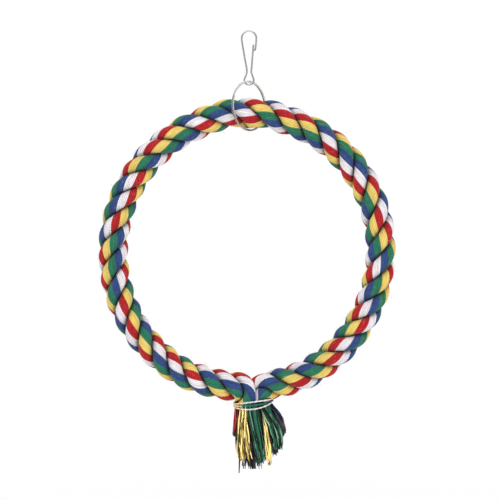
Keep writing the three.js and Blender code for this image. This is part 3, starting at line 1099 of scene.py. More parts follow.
@dataclass(frozen=True)
class LaidStrand:
    """The placing of one strand of the rope.

    Fields:
        rope: The rope.
        number: The strand's number, from 0.
        starts: Where each yarn's two waves start.
        waves: How fine those waves are.
    """

    rope: "LaidRope"
    number: int
    starts: np.ndarray
    waves: np.ndarray

    def __call__(self, around: np.ndarray, along: np.ndarray) -> Placed:
        """Places points on the strand.

        Args:
            around: The share of the way round it.
            along: The share along it.

        Returns:
            The points, and how far each is sunk in a groove, which the cotton darkens as painted shade.
        """
        rope, line = self.rope, self.rope.line
        distance = along * line.route.length
        middle, way = line.route.at(distance)
        angle = (distance - line.top_at) / (0.5 * (line.half_width + line.half_height))
        crossings = rope.crossings(angle)
        bands = rope.bands * around - self._phase(crossings, angle, distance)
        out, aside = rope.section_at(bands * FULL_TURN / rope.bands)
        out, aside = self._ridged(around, distance, out, aside)
        sunk = np.clip((rope.radius - np.hypot(out, aside)) / rope.painted_shade_depth, 0.0, 1.0)
        front, inner = turned(out, aside, (crossings - self.number) * FULL_TURN / len(rope.strands))
        front, inner = rope.seated(distance - line.top_at, front, inner)
        front, inner = rope.pressed(distance, middle, way, front, inner)
        points = middle + np.column_stack((way[:, 2] * inner, -front, -way[:, 0] * inner))
        return points, sunk ** rope.painted_shade_power

    def _phase(self, crossings: np.ndarray, angle: np.ndarray, distance: np.ndarray) -> np.ndarray:
        """Finds which colour lies on the strand's crown.

        Args:
            crossings: How many strands have passed the front.
            angle: The angle on the ring, clockwise from its top.
            distance: How far along the rope each point is.

        Returns:
            The place in the row of colour bands.
        """
        rope = self.rope
        colours = rope.strands[self.number]
        to_right_end = rope.line.route.length - distance
        phase = colours.start + rope.colour_rate * crossings + colours.drift(angle)
        phase += (crossings - self.number) * rope.bands / len(rope.strands)
        phase += colours.left_turn * eased(1.0 - distance / rope.end_reach)
        phase += colours.right_turn * eased(1.0 - to_right_end / rope.end_reach)
        return phase

    def _ridged(self, around: np.ndarray, distance: np.ndarray, out: np.ndarray,
                aside: np.ndarray) -> tuple[np.ndarray, np.ndarray]:
        """Rounds the yarns on the strand's surface.

        Args:
            around: The share of the way round the strand.
            distance: How far along the rope each point is.
            out: How far out from the rope's middle it is.
            aside: How far aside it is.

        Returns:
            How far out and aside the points of the yarns are.
        """
        rope = self.rope
        yarn = around * rope.yarns
        index = np.floor(yarn + TINY).astype(int) % rope.yarns
        ridge = np.abs(np.sin(math.pi * yarn)) ** rope.ridge_power - 1.0
        wander = sum(np.sin(wave[index] * distance + start[index])
                     for wave, start in zip(self.waves, self.starts))
        lift = ridge * (rope.yarn_ridge + 0.5 * rope.yarn_wander * wander)
        reach = np.hypot(out - rope.section_middle, aside)
        return out + lift * (out - rope.section_middle) / reach, aside * (1.0 + lift / reach)


@dataclass
class LaidRope:
    """Three laid strands of coloured yarn, each a wedge with a round back."""

    line: RopeLine
    nap: float = 0.5 * MM  # how far the soft yarn stands proud of the rope's size
    groove: float = 2.7 * MM  # from the nap down to where two strands meet
    painted_shade_depth: float = 2.6 * MM  # the depth at which the painted groove shade is darkest
    painted_shade_power: float = 2.5  # how late the painted groove shade turns dark on its way down
    strand_gap: float = 0.3 * MM
    corner: float = 4.0  # how square the corners of a strand's section are
    section_middle: float = 3.4 * MM  # from the rope's middle to the strand's
    section_points: int = 2881
    hub: float = 1.075 * MM  # from the rope's middle to where a strand's yarns turn about
    lays: int = 13
    lay_start: float = -0.01  # the lay at the ring's top, in strands, and how it sways round the ring
    lay_side: float = -0.39
    lay_fall: float = 0.15
    lay_slant: float = 0.05
    bands: int = 10  # round a strand, each of one colour
    band_yarns: int = 5
    yarn_columns: int = 3  # of faces on a yarn
    yarn_ridge: float = 0.22 * MM  # from the crown of a yarn down to its edge
    ridge_power: float = 0.7  # how full its back is
    yarn_wander: float = 0.1 * MM  # how much its ridge differs along it
    wander_waves: tuple[float, float] = (300.0, 700.0)  # least and most, in radians to the metre
    colour_rate: float = 0.66  # how far the colours run past the crown from strand to strand, in bands
    end_reach: float = 50.0 * MM  # over which the colours turn at the rope's ends
    worn: float = 0.15 * MM  # where the split ring runs
    worn_reach: float = 12.0 * MM
    ring_press: float = 2.1 * MM  # how far the slanted split ring presses in
    press_turn: float = 4.0 * MM  # over which its side changes
    press_inner: float = 0.6  # the way that it presses, to the inside and aside
    press_aside: float = 0.8
    seat_side: float = 2.0 * MM  # where the rope fills its seat in the split ring
    seat_reach: float = 6.0 * MM
    seat_swell: float = 1.4 * MM
    seat_fill: float = 0.8
    seat_from: float = 0.55  # where the filling starts and how soon it is full, in radii of the rope
    seat_ease: float = 0.2
    bound_reach: float = 16.0 * MM  # over which the binding holds the nap down
    neck_flatness: float = 0.8  # how deep the rope is at the neck, in its own thickness
    neck_aside: float = -2.2 * MM  # where the two ends meet, and how that slants to the front
    neck_slant: float = 0.73
    neck_softness: float = 0.5 * MM
    fibres: int = 320  # on a strand
    fibre: float = 0.07 * MM
    fibre_length: tuple[float, float] = (0.5 * MM, 1.6 * MM)
    fibre_root: float = 0.2  # the share of its length that is in the strand
    fibre_lean: float = 0.6  # how far it leans by chance
    fibre_sunk: float = 0.02  # how deep in a groove it may stand
    fibre_clear: float = 18.0 * MM  # from the split ring and from the rope's ends
    fibre_tries: int = 8  # places that are tried for each fibre
    fibre_points: int = 6
    fibre_sides: int = 3
    fibre_rows: int = 4
    rows: int = 640
    seed: int = 11
    strands: tuple[StrandColours, ...] = (
        StrandColours(4.6, 1.35, -0.25, -0.3, 0.0, 1.1),
        StrandColours(1.55, 0.8, -0.15, 0.0, -0.7, -1.0),
        StrandColours(4.75, 0.6, -0.2, 0.15, 1.1, 0.0))
    section: tuple[np.ndarray, np.ndarray, np.ndarray] = field(init=False)

    def __post_init__(self) -> None:
        """Draws the outline that all strands have."""
        self.section = self._section()

    @property
    def yarns(self) -> int:
        """Gives the number of yarns round a strand."""
        return self.bands * self.band_yarns

    @property
    def radius(self) -> float:
        """Gives the rope's radius over the soft nap of its yarns."""
        return 0.5 * self.line.rope + self.nap

    def _section(self) -> tuple[np.ndarray, np.ndarray, np.ndarray]:
        """Draws one strand's outline with its crown to the right.

        Returns:
            The angle of each point about the yarns' hub, and how far out and aside the point is.
        """
        half_wedge = math.pi / len(self.strands)
        valley = self.radius - self.groove
        back_middle = (self.radius ** 2 - valley ** 2) / (2.0 * (self.radius - 0.5 * valley))
        back_radius, shift = self.radius - back_middle, back_middle - self.section_middle
        angle = np.linspace(-math.pi, math.pi, self.section_points)
        back = shift * np.cos(angle) + np.sqrt(back_radius ** 2 - (shift * np.sin(angle)) ** 2)
        past_side = np.sin(np.maximum(np.abs(angle) - half_wedge, TINY))
        side = (self.section_middle * math.sin(half_wedge) - 0.5 * self.strand_gap) / past_side
        reach = (back ** -self.corner + side ** -self.corner) ** (-1.0 / self.corner)
        out = self.section_middle + reach * np.cos(angle)
        aside = reach * np.sin(angle)
        return np.unwrap(np.arctan2(aside, out - self.hub)), out, aside

    def section_at(self, about: np.ndarray) -> tuple[np.ndarray, np.ndarray]:
        """Finds places on a strand's outline.

        Args:
            about: The angle of each about the yarns' hub.

        Returns:
            How far out and aside the places are.
        """
        turns, outs, asides = self.section
        wrapped = (about + math.pi) % FULL_TURN - math.pi
        return np.interp(wrapped, turns, outs), np.interp(wrapped, turns, asides)

    def crossings(self, angle: np.ndarray) -> np.ndarray:
        """Counts the strands that have passed the front since the ring's top.

        Args:
            angle: The angle on the ring, clockwise from its top.

        Returns:
            The count at each angle.
        """
        even = len(self.strands) * self.lays * angle / FULL_TURN + self.lay_start
        sway = self.lay_side * np.sin(angle) + self.lay_fall * np.cos(angle)
        return even + sway + self.lay_slant * np.sin(2.0 * angle)

    def seated(self, past_top: np.ndarray, front: np.ndarray,
               inner: np.ndarray) -> tuple[np.ndarray, np.ndarray]:
        """Fits the rope to the split ring, which it fills below and which wears it slantwise.

        Args:
            past_top: How far past the ring's top each point is.
            front: How far to the front the point is.
            inner: How far to the ring's inside the point is.

        Returns:
            The front and inner distances of the seated rope.
        """
        reach = np.hypot(front, inner)
        below = np.clip(inner / reach, 0.0, 1.0) ** 2
        seat = below * np.exp(-((past_top - self.seat_side) / self.seat_reach) ** 2)
        filled = self.seat_fill * seat * eased((reach / self.radius - self.seat_from) / self.seat_ease)
        fuller = reach + filled * (self.radius + self.seat_swell * seat - reach)
        slant = np.tanh(past_top / self.press_turn)
        towards = (self.press_inner * inner - self.press_aside * slant * front) / self.radius
        facing = np.clip(towards, 0.0, 1.0) * slant
        depth = (self.worn + self.ring_press * facing ** 2) * np.exp(-(past_top / self.worn_reach) ** 2)
        change = fuller / reach - depth / self.radius
        return front * change, inner * change

    def pressed(self, distance: np.ndarray, middle: np.ndarray, way: np.ndarray, front: np.ndarray,
                inner: np.ndarray) -> tuple[np.ndarray, np.ndarray]:
        """Presses the two ends of the rope against each other at the neck, the left one to the front.

        Args:
            distance: How far along the rope each point is.
            middle: The rope's middle there.
            way: The way that the rope goes there.
            front: How far to the front the point is.
            inner: How far to the ring's inside the point is.

        Returns:
            The pressed front and inner distances.
        """
        line = self.line
        past_bend = np.minimum(distance - line.ring_from, line.ring_to - distance)
        round_again = eased(past_bend / (QUARTER_TURN * line.bend) + 1.0)
        flat = self.neck_flatness + (1.0 - self.neck_flatness) * round_again
        to_end = np.minimum(distance, line.route.length - distance)
        bound = 1.0 - self.nap / self.radius * (1.0 - eased(to_end / self.bound_reach))
        front, inner = front * flat * bound, inner * bound
        meeting = line.neck_x + self.neck_aside + self.neck_slant * front
        to_meeting = np.where(distance < line.top_at, meeting - middle[:, 0], middle[:, 0] - meeting)
        room = (to_meeting - 0.5 * line.clearance) / np.maximum(np.abs(way[:, 2]), LEAST_FALL)
        over = np.clip((inner - room) / self.neck_softness, -LARGEST_POWER, LARGEST_POWER)
        held = inner - self.neck_softness * np.log1p(np.exp(over))
        return front, np.where(middle[:, 2] < line.centre.z, held, inner)

    def _strand(self, number: int, chance: np.random.Generator) -> LaidStrand:
        """Makes the placing of one strand.

        Args:
            number: The strand's number, from 0.
            chance: The source of the yarns' unevenness.

        Returns:
            The placing.
        """
        starts = chance.uniform(0.0, FULL_TURN, (2, self.yarns))
        waves = chance.uniform(*self.wander_waves, (2, self.yarns))
        return LaidStrand(self, number, starts, waves)

    def _add_fibres(self, fuzz: TubeForm, strand: LaidStrand, chance: np.random.Generator) -> None:
        """Adds the fine fibres that stand out of one strand, clear of the split ring and the neck.

        Args:
            fuzz: The form that they are added to.
            strand: The strand's placing.
            chance: The source of their places and bends.
        """
        line = self.line
        around, along = chance.uniform(0.0, 1.0, (2, self.fibre_tries * self.fibres))
        roots, sunk = strand(around, along)
        distance = along * line.route.length
        middle, way = line.route.at(distance)
        free = np.abs(distance - line.top_at) > self.fibre_clear
        free &= np.minimum(distance, line.route.length - distance) > self.fibre_clear
        shares = np.linspace(-self.fibre_root, 1.0, self.fibre_points)[:, None]
        for index in np.flatnonzero(free & (sunk < self.fibre_sunk))[:self.fibres]:
            out = roots[index] - middle[index]
            out /= np.linalg.norm(out)
            start = out + self.fibre_lean * chance.normal(0.0, 1.0, 3)
            bend = way[index] * chance.normal(0.0, 1.0) + np.cross(way[index], out) * chance.normal(0.0, 1.0)
            step = shares * chance.uniform(*self.fibre_length)
            points = roots[index] + step * start + bend * step ** 2 / self.fibre_length[1]
            across = np.cross(start, bend)
            fibre = RoundWire(Route(points, across / np.linalg.norm(across)), self.fibre)
            root = (float(around[index]), float(along[index]))
            fuzz.add(self.fibre_sides, self.fibre_rows, fibre, root=root)

    def build(self) -> None:
        """Builds and dresses the strands and the fibres that stand out of them."""
        tones = (Tone.RED, Tone.YELLOW, Tone.GREEN, Tone.BLUE, Tone.WHITE)
        rounds = self.bands / len(tones)
        finish = Cotton("rope_cotton", self.yarns, self.line.route.length, tones, rounds=rounds)
        cotton = finish.material()
        chance = np.random.default_rng(self.seed)
        strands = [self._strand(number, chance) for number in range(len(self.strands))]
        for number, strand in enumerate(strands, 1):
            tube = TubeForm()
            tube.add(self.yarn_columns * self.yarns, self.rows, strand)
            settle(tube.close(f"laid_strand_{number}"), "perch", f"rope_strand_{number}", finish.name, cotton)
        fuzz = TubeForm()
        for strand in strands:
            self._add_fibres(fuzz, strand, chance)
        settle(fuzz.close("stray_fibres"), "perch", None, finish.name, cotton)


@dataclass
class NeckBinding:
    """A few tight turns of yarn round the two ends of the rope, close at the sides and apart in front."""

    line: RopeLine
    yarn: float = 0.92 * MM
    turns: int = 3
    pitch: float = 0.92 * MM
    front_pitch: float = 1.35 * MM  # what the turns lie further apart in front
    neck_depth: float = 15.0 * MM
    side_tilt: float = math.radians(9.0)
    front_tilt: float = math.radians(11.0)
    rise: float = 2.7 * MM  # from the ends of the rope to the start of the winding
    plies: int = 2
    ply_length: float = 3.0 * MM
    ply_waist: float = 0.82  # the radius between two plies and what a ply adds to it, in the yarn's radii
    ply_swell: float = 0.3
    turn_steps: int = 96
    sides: int = 20
    rows: int = 900
    dyes_and_painted_shade: tuple[tuple[Tone, int], ...] = (  # along the winding, in eighths of a turn; the cream on the left of each turn is painted shade on white yarn
        (Tone.WHITE, 1), (Tone.SHADED_WHITE, 2), (Tone.WHITE, 6), (Tone.SHADED_WHITE, 2), (Tone.GREEN, 2), (Tone.NAVY, 2),
        (Tone.WHITE, 1), (Tone.SHADED_WHITE, 3), (Tone.WHITE, 5))
    route: Route = field(init=False)

    def __post_init__(self) -> None:
        """Draws the winding's middle line, from behind the neck and down turn by turn."""
        turns = np.linspace(0.0, self.turns, self.turn_steps * self.turns + 1)
        angle = FULL_TURN * turns + QUARTER_TURN
        out = self.line.clearance + 0.5 * self.yarn
        across = (0.5 * self.line.neck_width + out) * np.cos(angle)
        deep = (0.5 * self.neck_depth + out) * np.sin(angle)
        tilt = across * math.tan(self.side_tilt) + deep * math.tan(self.front_tilt)
        in_front = np.clip(-np.sin(angle), 0.0, 1.0) ** 2
        fan = (turns - 0.5 * self.turns) * self.front_pitch * in_front
        z = self.line.end_z + self.rise + tilt - turns * self.pitch - fan
        self.route = Route(np.column_stack((self.line.neck_x + across, deep, z)), UPWARDS)

    def _place(self, around: np.ndarray, along: np.ndarray) -> Placed:
        """Places points on the plied yarn.

        Args:
            around: The share of the way round the yarn.
            along: The share along it.

        Returns:
            The points, none of them sunk.
        """
        distance = along * self.route.length
        turn = around + distance / (self.plies * self.ply_length)
        lobe = np.abs(np.cos(math.pi * self.plies * around))
        radius = 0.5 * self.yarn * (self.ply_waist + self.ply_swell * lobe)
        return self.route.around(turn, distance, radius), 0.0

    def build(self) -> None:
        """Builds and dresses the winding."""
        winding = TubeForm()
        winding.add(self.sides, self.rows, self._place)
        tones = tuple(tone for tone, count in self.dyes_and_painted_shade for _ in range(count))
        finish = Cotton("binding_yarn", self.plies, self.route.length, tones, lengthways=True)
        settle(winding.close("plied_neck_binding"), "perch", "neck_binding", finish.name, finish.material())


@dataclass(frozen=True)
class Lock:
    """One bundle of yarns of the tassel.

    Fields:
        tone: Its colour.
        number: Its number among the locks of that colour.
        yarns: How many yarns it has.
        way: Places that it passes, in millimetres: to the right of the neck's middle, to the back of it and
            down from its top, and half its width there.
        loose: Places that one yarn passes which hangs out of the lock, if it has one.
        wisp_yarns: How many yarns hang together in a wisp.
        least_wisps: How many wisps there are at least.
    """

    tone: Tone
    number: int
    yarns: int
    way: tuple[tuple[float, float, float, float], ...]
    loose: tuple[tuple[float, float, float], ...] = ()
    wisp_yarns: int = 4
    least_wisps: int = 4

    @property
    def wisps(self) -> int:
        """Gives the number of wisps that its yarns hang together in."""
        return max(self.least_wisps, self.yarns // self.wisp_yarns)

    @property
    def node(self) -> str:
        """Gives the name of the solid that it replaces."""
        return f"tassel_{self.tone.name.lower()}_{self.number}"


FRONT_LOCKS = (
    Lock(Tone.RED, 1, 32, (
        (-9.4, -0.8, -2.0, 1.4), (-10.5, -1.6, 5.0, 1.6), (-11.6, -2.4, 13.0, 1.7),
        (-12.1, -2.6, 19.8, 1.3))),
    Lock(Tone.YELLOW, 1, 24, (
        (-6.6, -3.4, -2.0, 1.3), (-7.1, -5.0, 4.0, 1.6), (-8.5, -6.8, 17.9, 2.1), (-8.8, -6.2, 34.8, 2.5))),
    Lock(Tone.YELLOW, 2, 25, (
        (-4.6, -4.4, -2.0, 1.5), (-5.3, -6.1, 4.5, 1.7), (-5.5, -8.2, 17.9, 2.2), (-3.6, -7.2, 34.6, 2.5))),
    Lock(Tone.GREEN, 2, 62, (
        (0.2, -4.6, -2.0, 3.4), (0.2, -6.0, 5.9, 4.3), (1.2, -8.6, 16.4, 4.2), (3.0, -9.0, 26.9, 3.2),
        (3.7, -8.2, 33.0, 2.5), (3.9, -7.4, 36.4, 2.0))),
    Lock(Tone.YELLOW, 3, 20, (
        (5.0, -1.4, -2.0, 0.8), (5.9, -2.8, 6.0, 0.9), (7.8, -5.6, 14.5, 1.4), (9.4, -6.6, 26.7, 1.8),
        (10.5, -6.0, 38.5, 1.4))),
    Lock(Tone.GREEN, 3, 52, (
        (6.6, -3.2, -2.0, 2.7), (8.1, -4.6, 3.0, 3.5), (12.1, -6.2, 10.0, 3.6), (15.5, -6.0, 20.0, 2.9),
        (15.9, -5.0, 27.8, 2.1))),
    Lock(Tone.NAVY, 1, 28, (
        (9.2, -1.0, -2.0, 1.3), (11.5, -1.5, 0.9, 1.4), (15.3, -2.4, 5.5, 1.6), (17.9, -2.7, 11.2, 1.5),
        (19.2, -2.5, 18.5, 1.3))),
)
BACK_LOCKS = (
    Lock(Tone.GREY, 1, 40, (
        (9.0, 1.4, -2.0, 1.6), (10.8, 2.1, 1.5, 2.4), (14.2, 3.2, 7.0, 2.7), (17.2, 3.9, 13.0, 2.2),
        (18.4, 4.0, 20.5, 1.6))),
    Lock(Tone.BLUE, 1, 46, (
        (6.2, 3.4, -2.0, 2.1), (7.4, 4.8, 3.0, 2.6), (10.8, 7.0, 12.0, 3.0), (13.2, 7.6, 22.0, 2.8),
        (13.4, 7.0, 31.0, 2.2))),
    Lock(Tone.WHITE, 1, 44, (
        (2.4, 4.4, -2.0, 2.1), (2.8, 6.0, 4.0, 2.4), (4.6, 8.2, 15.0, 2.8), (6.0, 8.4, 27.0, 2.5),
        (6.6, 7.6, 37.0, 1.9))),
    Lock(Tone.GREY, 2, 44, (
        (-1.6, 4.6, -2.0, 2.1), (-1.8, 6.2, 4.0, 2.4), (-2.2, 8.6, 16.0, 2.8), (-1.6, 8.6, 28.0, 2.8),
        (-1.0, 7.8, 39.0, 2.4))),
    Lock(Tone.GREEN, 1, 46, (
        (-6.0, 3.6, -2.0, 2.1), (-7.2, 5.0, 3.5, 2.6), (-8.4, 7.2, 14.0, 3.0), (-8.0, 7.4, 25.0, 2.8),
        (-7.6, 6.6, 35.0, 2.3)),
        loose=((-6.4, 5.0, 4.0), (-8.0, 6.8, 20.0), (-8.8, 6.4, 36.0), (-9.1, 6.0, 44.0))),
)
INNER_LOCKS = (
    Lock(Tone.GREY, 3, 120, (
        (-2.6, 0.0, -2.0, 2.2), (-3.0, -1.0, 6.0, 2.6), (-2.2, -4.0, 20.0, 4.6), (-1.0, -5.0, 39.8, 6.2))),
    Lock(Tone.RED, 2, 32, (
        (-1.0, 0.8, -2.0, 1.8), (-1.6, 1.0, 8.0, 2.2), (-3.0, 1.6, 20.0, 3.0), (-3.4, 1.5, 34.0, 3.2))),
    Lock(Tone.BLUE, 2, 32, (
        (1.8, 0.8, -2.0, 1.8), (2.2, 1.0, 8.0, 2.2), (3.4, 1.7, 20.0, 3.0), (4.0, 1.7, 37.0, 3.2))),
    Lock(Tone.GREY, 4, 44, (
        (4.6, 0.0, -2.0, 1.8), (6.0, -1.4, 6.0, 2.0), (10.9, -3.4, 20.0, 2.6), (13.6, -3.6, 32.0, 2.3))),
)
# Parts of grey at the tips of a colour's yarns, after the parts of its own colour
GREY_TIPS = {Tone.RED: 1, Tone.NAVY: 3}
OWN_PARTS = 5


@dataclass(frozen=True)
class FrayedYarn:
    """The placing of one yarn, which thins out to its frayed tip.

    Fields:
        route: The yarn's middle line.
        thick: Its diameter.
        thinning: The share of its thickness that it loses.
        thinning_power: How near its tip it does so.
    """

    route: Route
    thick: float
    thinning: float = 0.45
    thinning_power: int = 6

    def __call__(self, around: np.ndarray, along: np.ndarray) -> Placed:
        """Places points on the yarn, none of them sunk."""
        radius = 0.5 * self.thick * (1.0 - self.thinning * along ** self.thinning_power)
        return self.route.around(around, along * self.route.length, radius), 0.0


@dataclass
class Tassel:
    """The rope's yarn, combed out below the binding in bundles of one colour."""

    line: RopeLine
    locks: tuple[Lock, ...] = FRONT_LOCKS + BACK_LOCKS + INNER_LOCKS
    yarn: float = 0.84 * MM
    yarn_sizes: tuple[float, float] = (0.8, 1.2)  # the least and most thickness, in yarns
    yarn_lengths: tuple[float, float] = (0.9, 1.0)  # the least and most length, in lengths of the lock
    loose_yarn: float = 1.1 * MM
    most_depth: float = 2.4  # half of a lock's depth at most, in millimetres
    wave: float = 0.4 * MM  # how far a yarn swings to and fro
    wave_lengths: tuple[float, float] = (9.0, 24.0)  # in millimetres
    stray: float = 0.4 * MM  # how far a tip strays
    wisp_stray: float = 0.8  # how far a wisp strays, in wisps
    wisp_size: float = 0.32  # in half widths of the lock
    tip_stray: float = 0.5  # how far a yarn strays in its wisp, in wisps
    parting: float = 1.25  # how soon the yarns are in their wisps
    swirl: float = math.radians(80.0)  # how far the yarns turn about their lock on the way down
    colour_length: float = 40.0 * MM  # of yarn, from the neck down
    plies: int = 2
    ply_length: float = 3.0 * MM
    stagger: float = 0.3
    # Painted shade: the loose yarns darker than the rope's, as though they shaded each other
    shade: float = 0.9
    variety: float = 0.95
    # Painted highlight: a share of the yarns drawn paler and brighter
    painted_highlight: float = 1.0
    dark_painted_highlight: float = 0.3  # the painted highlight of red, navy and grey yarn
    # Painted shadow: another share of the yarns drawn darker, as though deep in the lock
    painted_shadow: float = 0.85
    line_steps: int = 12
    columns: int = 6
    rows: int = 13
    seed: int = 23

    @staticmethod
    def _spread(count: int) -> np.ndarray:
        """Spreads places evenly over a disc one wide each way.

        Args:
            count: How many places there are.

        Returns:
            The places across and back, one a row.
        """
        index = np.arange(count)
        out, turn = np.sqrt((index + 0.5) / count), GOLDEN_TURN * index
        return np.column_stack((out * np.cos(turn), out * np.sin(turn)))

    def _yarn_line(self, lock: Lock, places: tuple[np.ndarray, np.ndarray],
                   chance: np.random.Generator) -> np.ndarray:
        """Draws one yarn's middle line.

        Args:
            lock: The lock that it is in.
            places: Where it is in the lock's section at the neck, and at its tip.
            chance: The source of its length and its waves.

        Returns:
            The line's points, from the neck down.
        """
        way = smooth_line(np.array(lock.way), self.line_steps)
        way = way[:max(2, round(len(way) * chance.uniform(*self.yarn_lengths)))]
        down = np.linspace(0.0, 1.0, len(way))[:, None]
        place = places[0] + (places[1] - places[0]) * eased(self.parting * down)
        waves = way[:, 2:3] / chance.uniform(*self.wave_lengths, 2) + chance.uniform(0.0, 1.0, 2)
        swing = self.wave * down * np.sin(FULL_TURN * waves) + chance.normal(0.0, self.stray, 2) * down ** 2
        half = np.column_stack((way[:, 3], np.minimum(way[:, 3], self.most_depth)))
        return self._hung(lock, way[:, :2] + half * place, way[:, 2], swing)

    def _hung(self, lock: Lock, flat: np.ndarray, drop: np.ndarray,
              swing: Union[np.ndarray, float] = 0.0) -> np.ndarray:
        """Hangs a line below the neck.

        Args:
            lock: The lock that it is in.
            flat: How far to the right and to the back its points are, in millimetres.
            drop: How far down they are, in millimetres.
            swing: How far each one swings out, in metres.

        Returns:
            The points.
        """
        level = MM * flat + swing
        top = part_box(lock.node)[1].z
        return np.column_stack((self.line.neck_x + level[:, 0], level[:, 1], top - MM * drop))

    def _lines(self, lock: Lock, chance: np.random.Generator) -> Iterator[tuple[np.ndarray, float]]:
        """Draws the middle lines of a lock's yarns, which part into wisps on their way down.

        Args:
            lock: The lock.
            chance: The source of their places.

        Yields:
            The points of each line, from the neck down, and the yarn's diameter.
        """
        wisps = self._spread(lock.wisps) * (1.0 - self.wisp_size)
        wisps += chance.normal(0.0, self.wisp_stray, wisps.shape) * self.wisp_size
        for place in self._spread(lock.yarns):
            swirled = np.array(turned(place[0], place[1], self.swirl))
            nearest = wisps[np.argmin(np.linalg.norm(wisps - swirled, axis=1))]
            tip = nearest + self.wisp_size * chance.normal(0.0, self.tip_stray, 2)
            points = self._yarn_line(lock, (place, tip), chance)
            yield points, self.yarn * chance.uniform(*self.yarn_sizes)
        if lock.loose:
            way = smooth_line(np.array(lock.loose), self.line_steps)
            yield self._hung(lock, way[:, :2], way[:, 2]), self.loose_yarn

    def _finish(self, tone: Tone) -> Cotton:
        """Picks the finish of a colour's locks.

        Args:
            tone: The colour.

        Returns:
            The finish. Dark yarns get a weaker painted highlight, and some of them are grey at their tips.
        """
        tips = (Tone.GREY,) * GREY_TIPS.get(tone, 0)
        tones = (tone,) * OWN_PARTS + tips if tips else (tone,)
        painted_highlight = self.dark_painted_highlight if tips or tone is Tone.GREY else self.painted_highlight
        return Cotton(
            f"{tone.name.lower()}_yarn", 1, self.colour_length, tones, lengthways=True, stagger=self.stagger,
            plies=self.plies, ply_length=self.ply_length, shade=self.shade, variety=self.variety, painted_highlight=painted_highlight,
            painted_shadow=self.painted_shadow)

    def build(self) -> None:
        """Builds and dresses the locks."""
        chance = np.random.default_rng(self.seed)
        finishes = {lock.tone: self._finish(lock.tone) for lock in self.locks}
        materials = {tone: finish.material() for tone, finish in finishes.items()}
        for lock in self.locks:
            bundle = TubeForm()
            for index, (points, thick) in enumerate(self._lines(lock, chance)):
                bundle.add(self.columns, self.rows, FrayedYarn(Route(points, TO_BACK), thick), index)
            piece = bundle.close(lock.node.replace("tassel", "frayed_lock"))
            settle(piece, "perch", lock.node, finishes[lock.tone].name, materials[lock.tone])


@dataclass(frozen=True)
class Lamp:
    """One soft light that faces the perch.

    Fields:
        name: Its name.
        place: Where it hangs.
        size: How wide it is.
        watts: How strong it is.
    """

    name: str
    place: tuple[float, float, float]
    size: float
    watts: float

    def hang(self, aim: Vector) -> None:
        """Hangs the light.

        Args:
            aim: The place that it faces.
        """
        data = bpy.data.lights.new(self.name, "AREA")
        data.size = self.size
        data.energy = self.watts
        light = linked(self.name, data)
        light.location = self.place
        light.rotation_euler = (aim - Vector(self.place)).to_track_quat("-Z", "Y").to_euler()


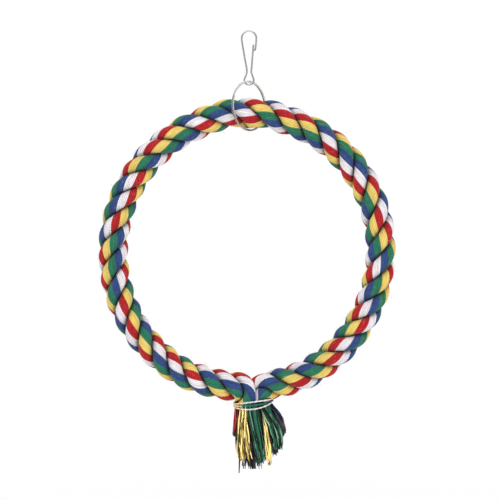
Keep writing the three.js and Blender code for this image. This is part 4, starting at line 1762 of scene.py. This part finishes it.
@dataclass
class Studio:
    """The camera, the soft lights, the white surround, the pale floor and the dark cards of painted
    reflection.
    """

    aim: Vector = field(default_factory=lambda: Vector((0.63 * MM, 0.0, -137.2 * MM)))
    view_height: float = 314.35 * MM
    lens: float = 120.0
    sensor: float = 36.0
    nearest: float = 0.01
    ambient: float = 0.74
    floor_z: float = -0.33
    floor_reach: float = 0.6
    floor_sides: int = 96
    floor_tint: Colour = grey(0.9)
    floor_white: float = 0.8  # how much of the white surround shows on the floor
    card_reach: float = 0.6
    card_height: float = 1.2
    card_sides: int = 16
    card_gap: float = 0.3  # a face is left open that turns less than this from the front, back or side
    card_tint: Colour = grey(0.02)
    lamps: tuple[Lamp, ...] = (
        Lamp("key_light", (-0.9, -1.3, 0.7), 1.0, 9.0),
        Lamp("fill_light", (1.2, -1.1, -0.3), 1.2, 7.0),
        Lamp("back_light", (0.3, 1.2, 0.9), 1.0, 5.0))

    def _camera(self) -> None:
        """Sets the camera square to the front."""
        data = bpy.data.cameras.new("front_camera")
        data.lens = self.lens
        data.sensor_width = self.sensor
        data.clip_start = self.nearest
        camera = linked("front_camera", data)
        distance = self.view_height * self.lens / self.sensor
        camera.location = self.aim - Vector((0.0, distance, 0.0))
        camera.rotation_euler = (QUARTER_TURN, 0.0, 0.0)
        bpy.context.scene.camera = camera

    @staticmethod
    def _seen(paint: Paint) -> Value:
        """Marks what the camera, a mirror or a glass shows.

        Args:
            paint: The node tree.

        Returns:
            1 for such a ray and 0 for any other.
        """
        path = paint.add("ShaderNodeLightPath")
        camera, glossy, through = (Value(paint, path.outputs[name]) for name in (
            "Is Camera Ray", "Is Glossy Ray", "Is Transmission Ray"))
        return camera.larger(glossy).larger(through)

    def _surround(self) -> None:
        """Makes the white surround, which lights the perch softly."""
        world = bpy.data.worlds.new("white_surround")
        world.use_nodes = True
        bpy.context.scene.world = world
        paint = Paint(world.node_tree, "ShaderNodeOutputWorld")
        soft, white = (paint.add("ShaderNodeBackground", None, {"Color": grey(1.0), "Strength": strength})
                       for strength in (self.ambient, 1.0))
        paint.finish("ShaderNodeMixShader", {0: self._seen(paint), 1: soft.outputs[0], 2: white.outputs[0]})

    def _floor(self) -> None:
        """Lays the pale floor, which fades out into the surround."""
        form = bmesh.new()
        bmesh.ops.create_circle(form, cap_ends=True, segments=self.floor_sides, radius=self.floor_reach)
        bmesh.ops.translate(form, verts=form.verts, vec=(0.0, 0.0, self.floor_z))
        floor = formed("pale_floor", form)
        floor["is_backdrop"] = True
        material, paint = new_paint("pale_floor")
        floor.data.materials.append(material)
        place = paint.add("ShaderNodeTexCoord").outputs["Object"]
        flat = paint.add("ShaderNodeVectorMath", {"operation": "MULTIPLY"}, {0: place, 1: (1.0, 1.0, 0.0)})
        reach = paint.add("ShaderNodeVectorMath", {"operation": "LENGTH"}, {0: flat.outputs[0]})
        near = (1.0 - Value(paint, reach.outputs["Value"]) * (1.0 / self.floor_reach)).larger(0.0) ** 2.0
        matt = paint.add("ShaderNodeBsdfDiffuse", None, {"Color": self.floor_tint})
        white = paint.add("ShaderNodeEmission", None, {"Color": grey(1.0), "Strength": 1.0})
        bare = paint.add("ShaderNodeBsdfTransparent")
        shown = self._seen(paint) * self.floor_white
        lit = paint.add("ShaderNodeMixShader", None, {0: shown, 1: matt.outputs[0], 2: white.outputs[0]})
        paint.finish("ShaderNodeMixShader", {0: near, 1: bare.outputs[0], 2: lit.outputs[0]})

    def _cards(self) -> None:
        """Stands four dark cards round the perch as a painted reflection, which only the bright wire mirrors.
        """
        form = bmesh.new()
        bmesh.ops.create_cone(form, cap_ends=False, segments=self.card_sides, radius1=self.card_reach,
                              radius2=self.card_reach, depth=self.card_height)
        bmesh.ops.translate(form, verts=form.verts, vec=self.aim)
        gaps = [face for face in form.faces if min(abs(face.normal.x), abs(face.normal.y)) < self.card_gap]
        bmesh.ops.delete(form, geom=gaps, context="FACES")
        cards = formed("dark_cards", form)
        cards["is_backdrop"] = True
        material, paint = new_paint("dark_card")
        cards.data.materials.append(material)
        paint.finish("ShaderNodeBsdfDiffuse", {"Color": self.card_tint})
        # Unseen by the camera, by diffuse light and by shadows, so that they show only as painted reflection
        for kind in ("camera", "diffuse", "shadow", "transmission"):
            setattr(cards, f"visible_{kind}", False)

    def build(self) -> None:
        """Sets up the studio."""
        bpy.context.scene.view_settings.view_transform = "Standard"
        self._camera()
        self._surround()
        self._floor()
        self._cards()
        for lamp in self.lamps:
            lamp.hang(self.aim)


def write_sizes() -> None:
    """Works out the solids' box and the dressed box as plain lists."""
    boxes = {"cad": SOLID_BOX, "visual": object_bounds()}
    plain = {name: [list(map(float, corner)) for corner in box] for name, box in boxes.items()}


def main() -> None:
    """Builds the studio and the perch, piece by piece."""
    logging.basicConfig(level=logging.INFO, format="%(message)s")
    Studio().build()
    steel = PLATED_STEEL.material()
    SnapHook(steel).build()
    SplitRing(steel).build()
    joints = {joint["name"]: joint for joint in frame["record"]["behaviour"]["joints"]}
    line = RopeLine(Vector(joints["perch_swing"]["pos_m"]))
    LaidRope(line).build()
    NeckBinding(line).build()
    Tassel(line).build()
    core = frame["nodes"]["core_wire"]
    core.data.materials.clear()
    core.data.materials.append(CORE_STEEL.material())
    log.info("%s: dressed as it is", core.name)
    write_sizes()


if __name__ == "__main__":
    main()
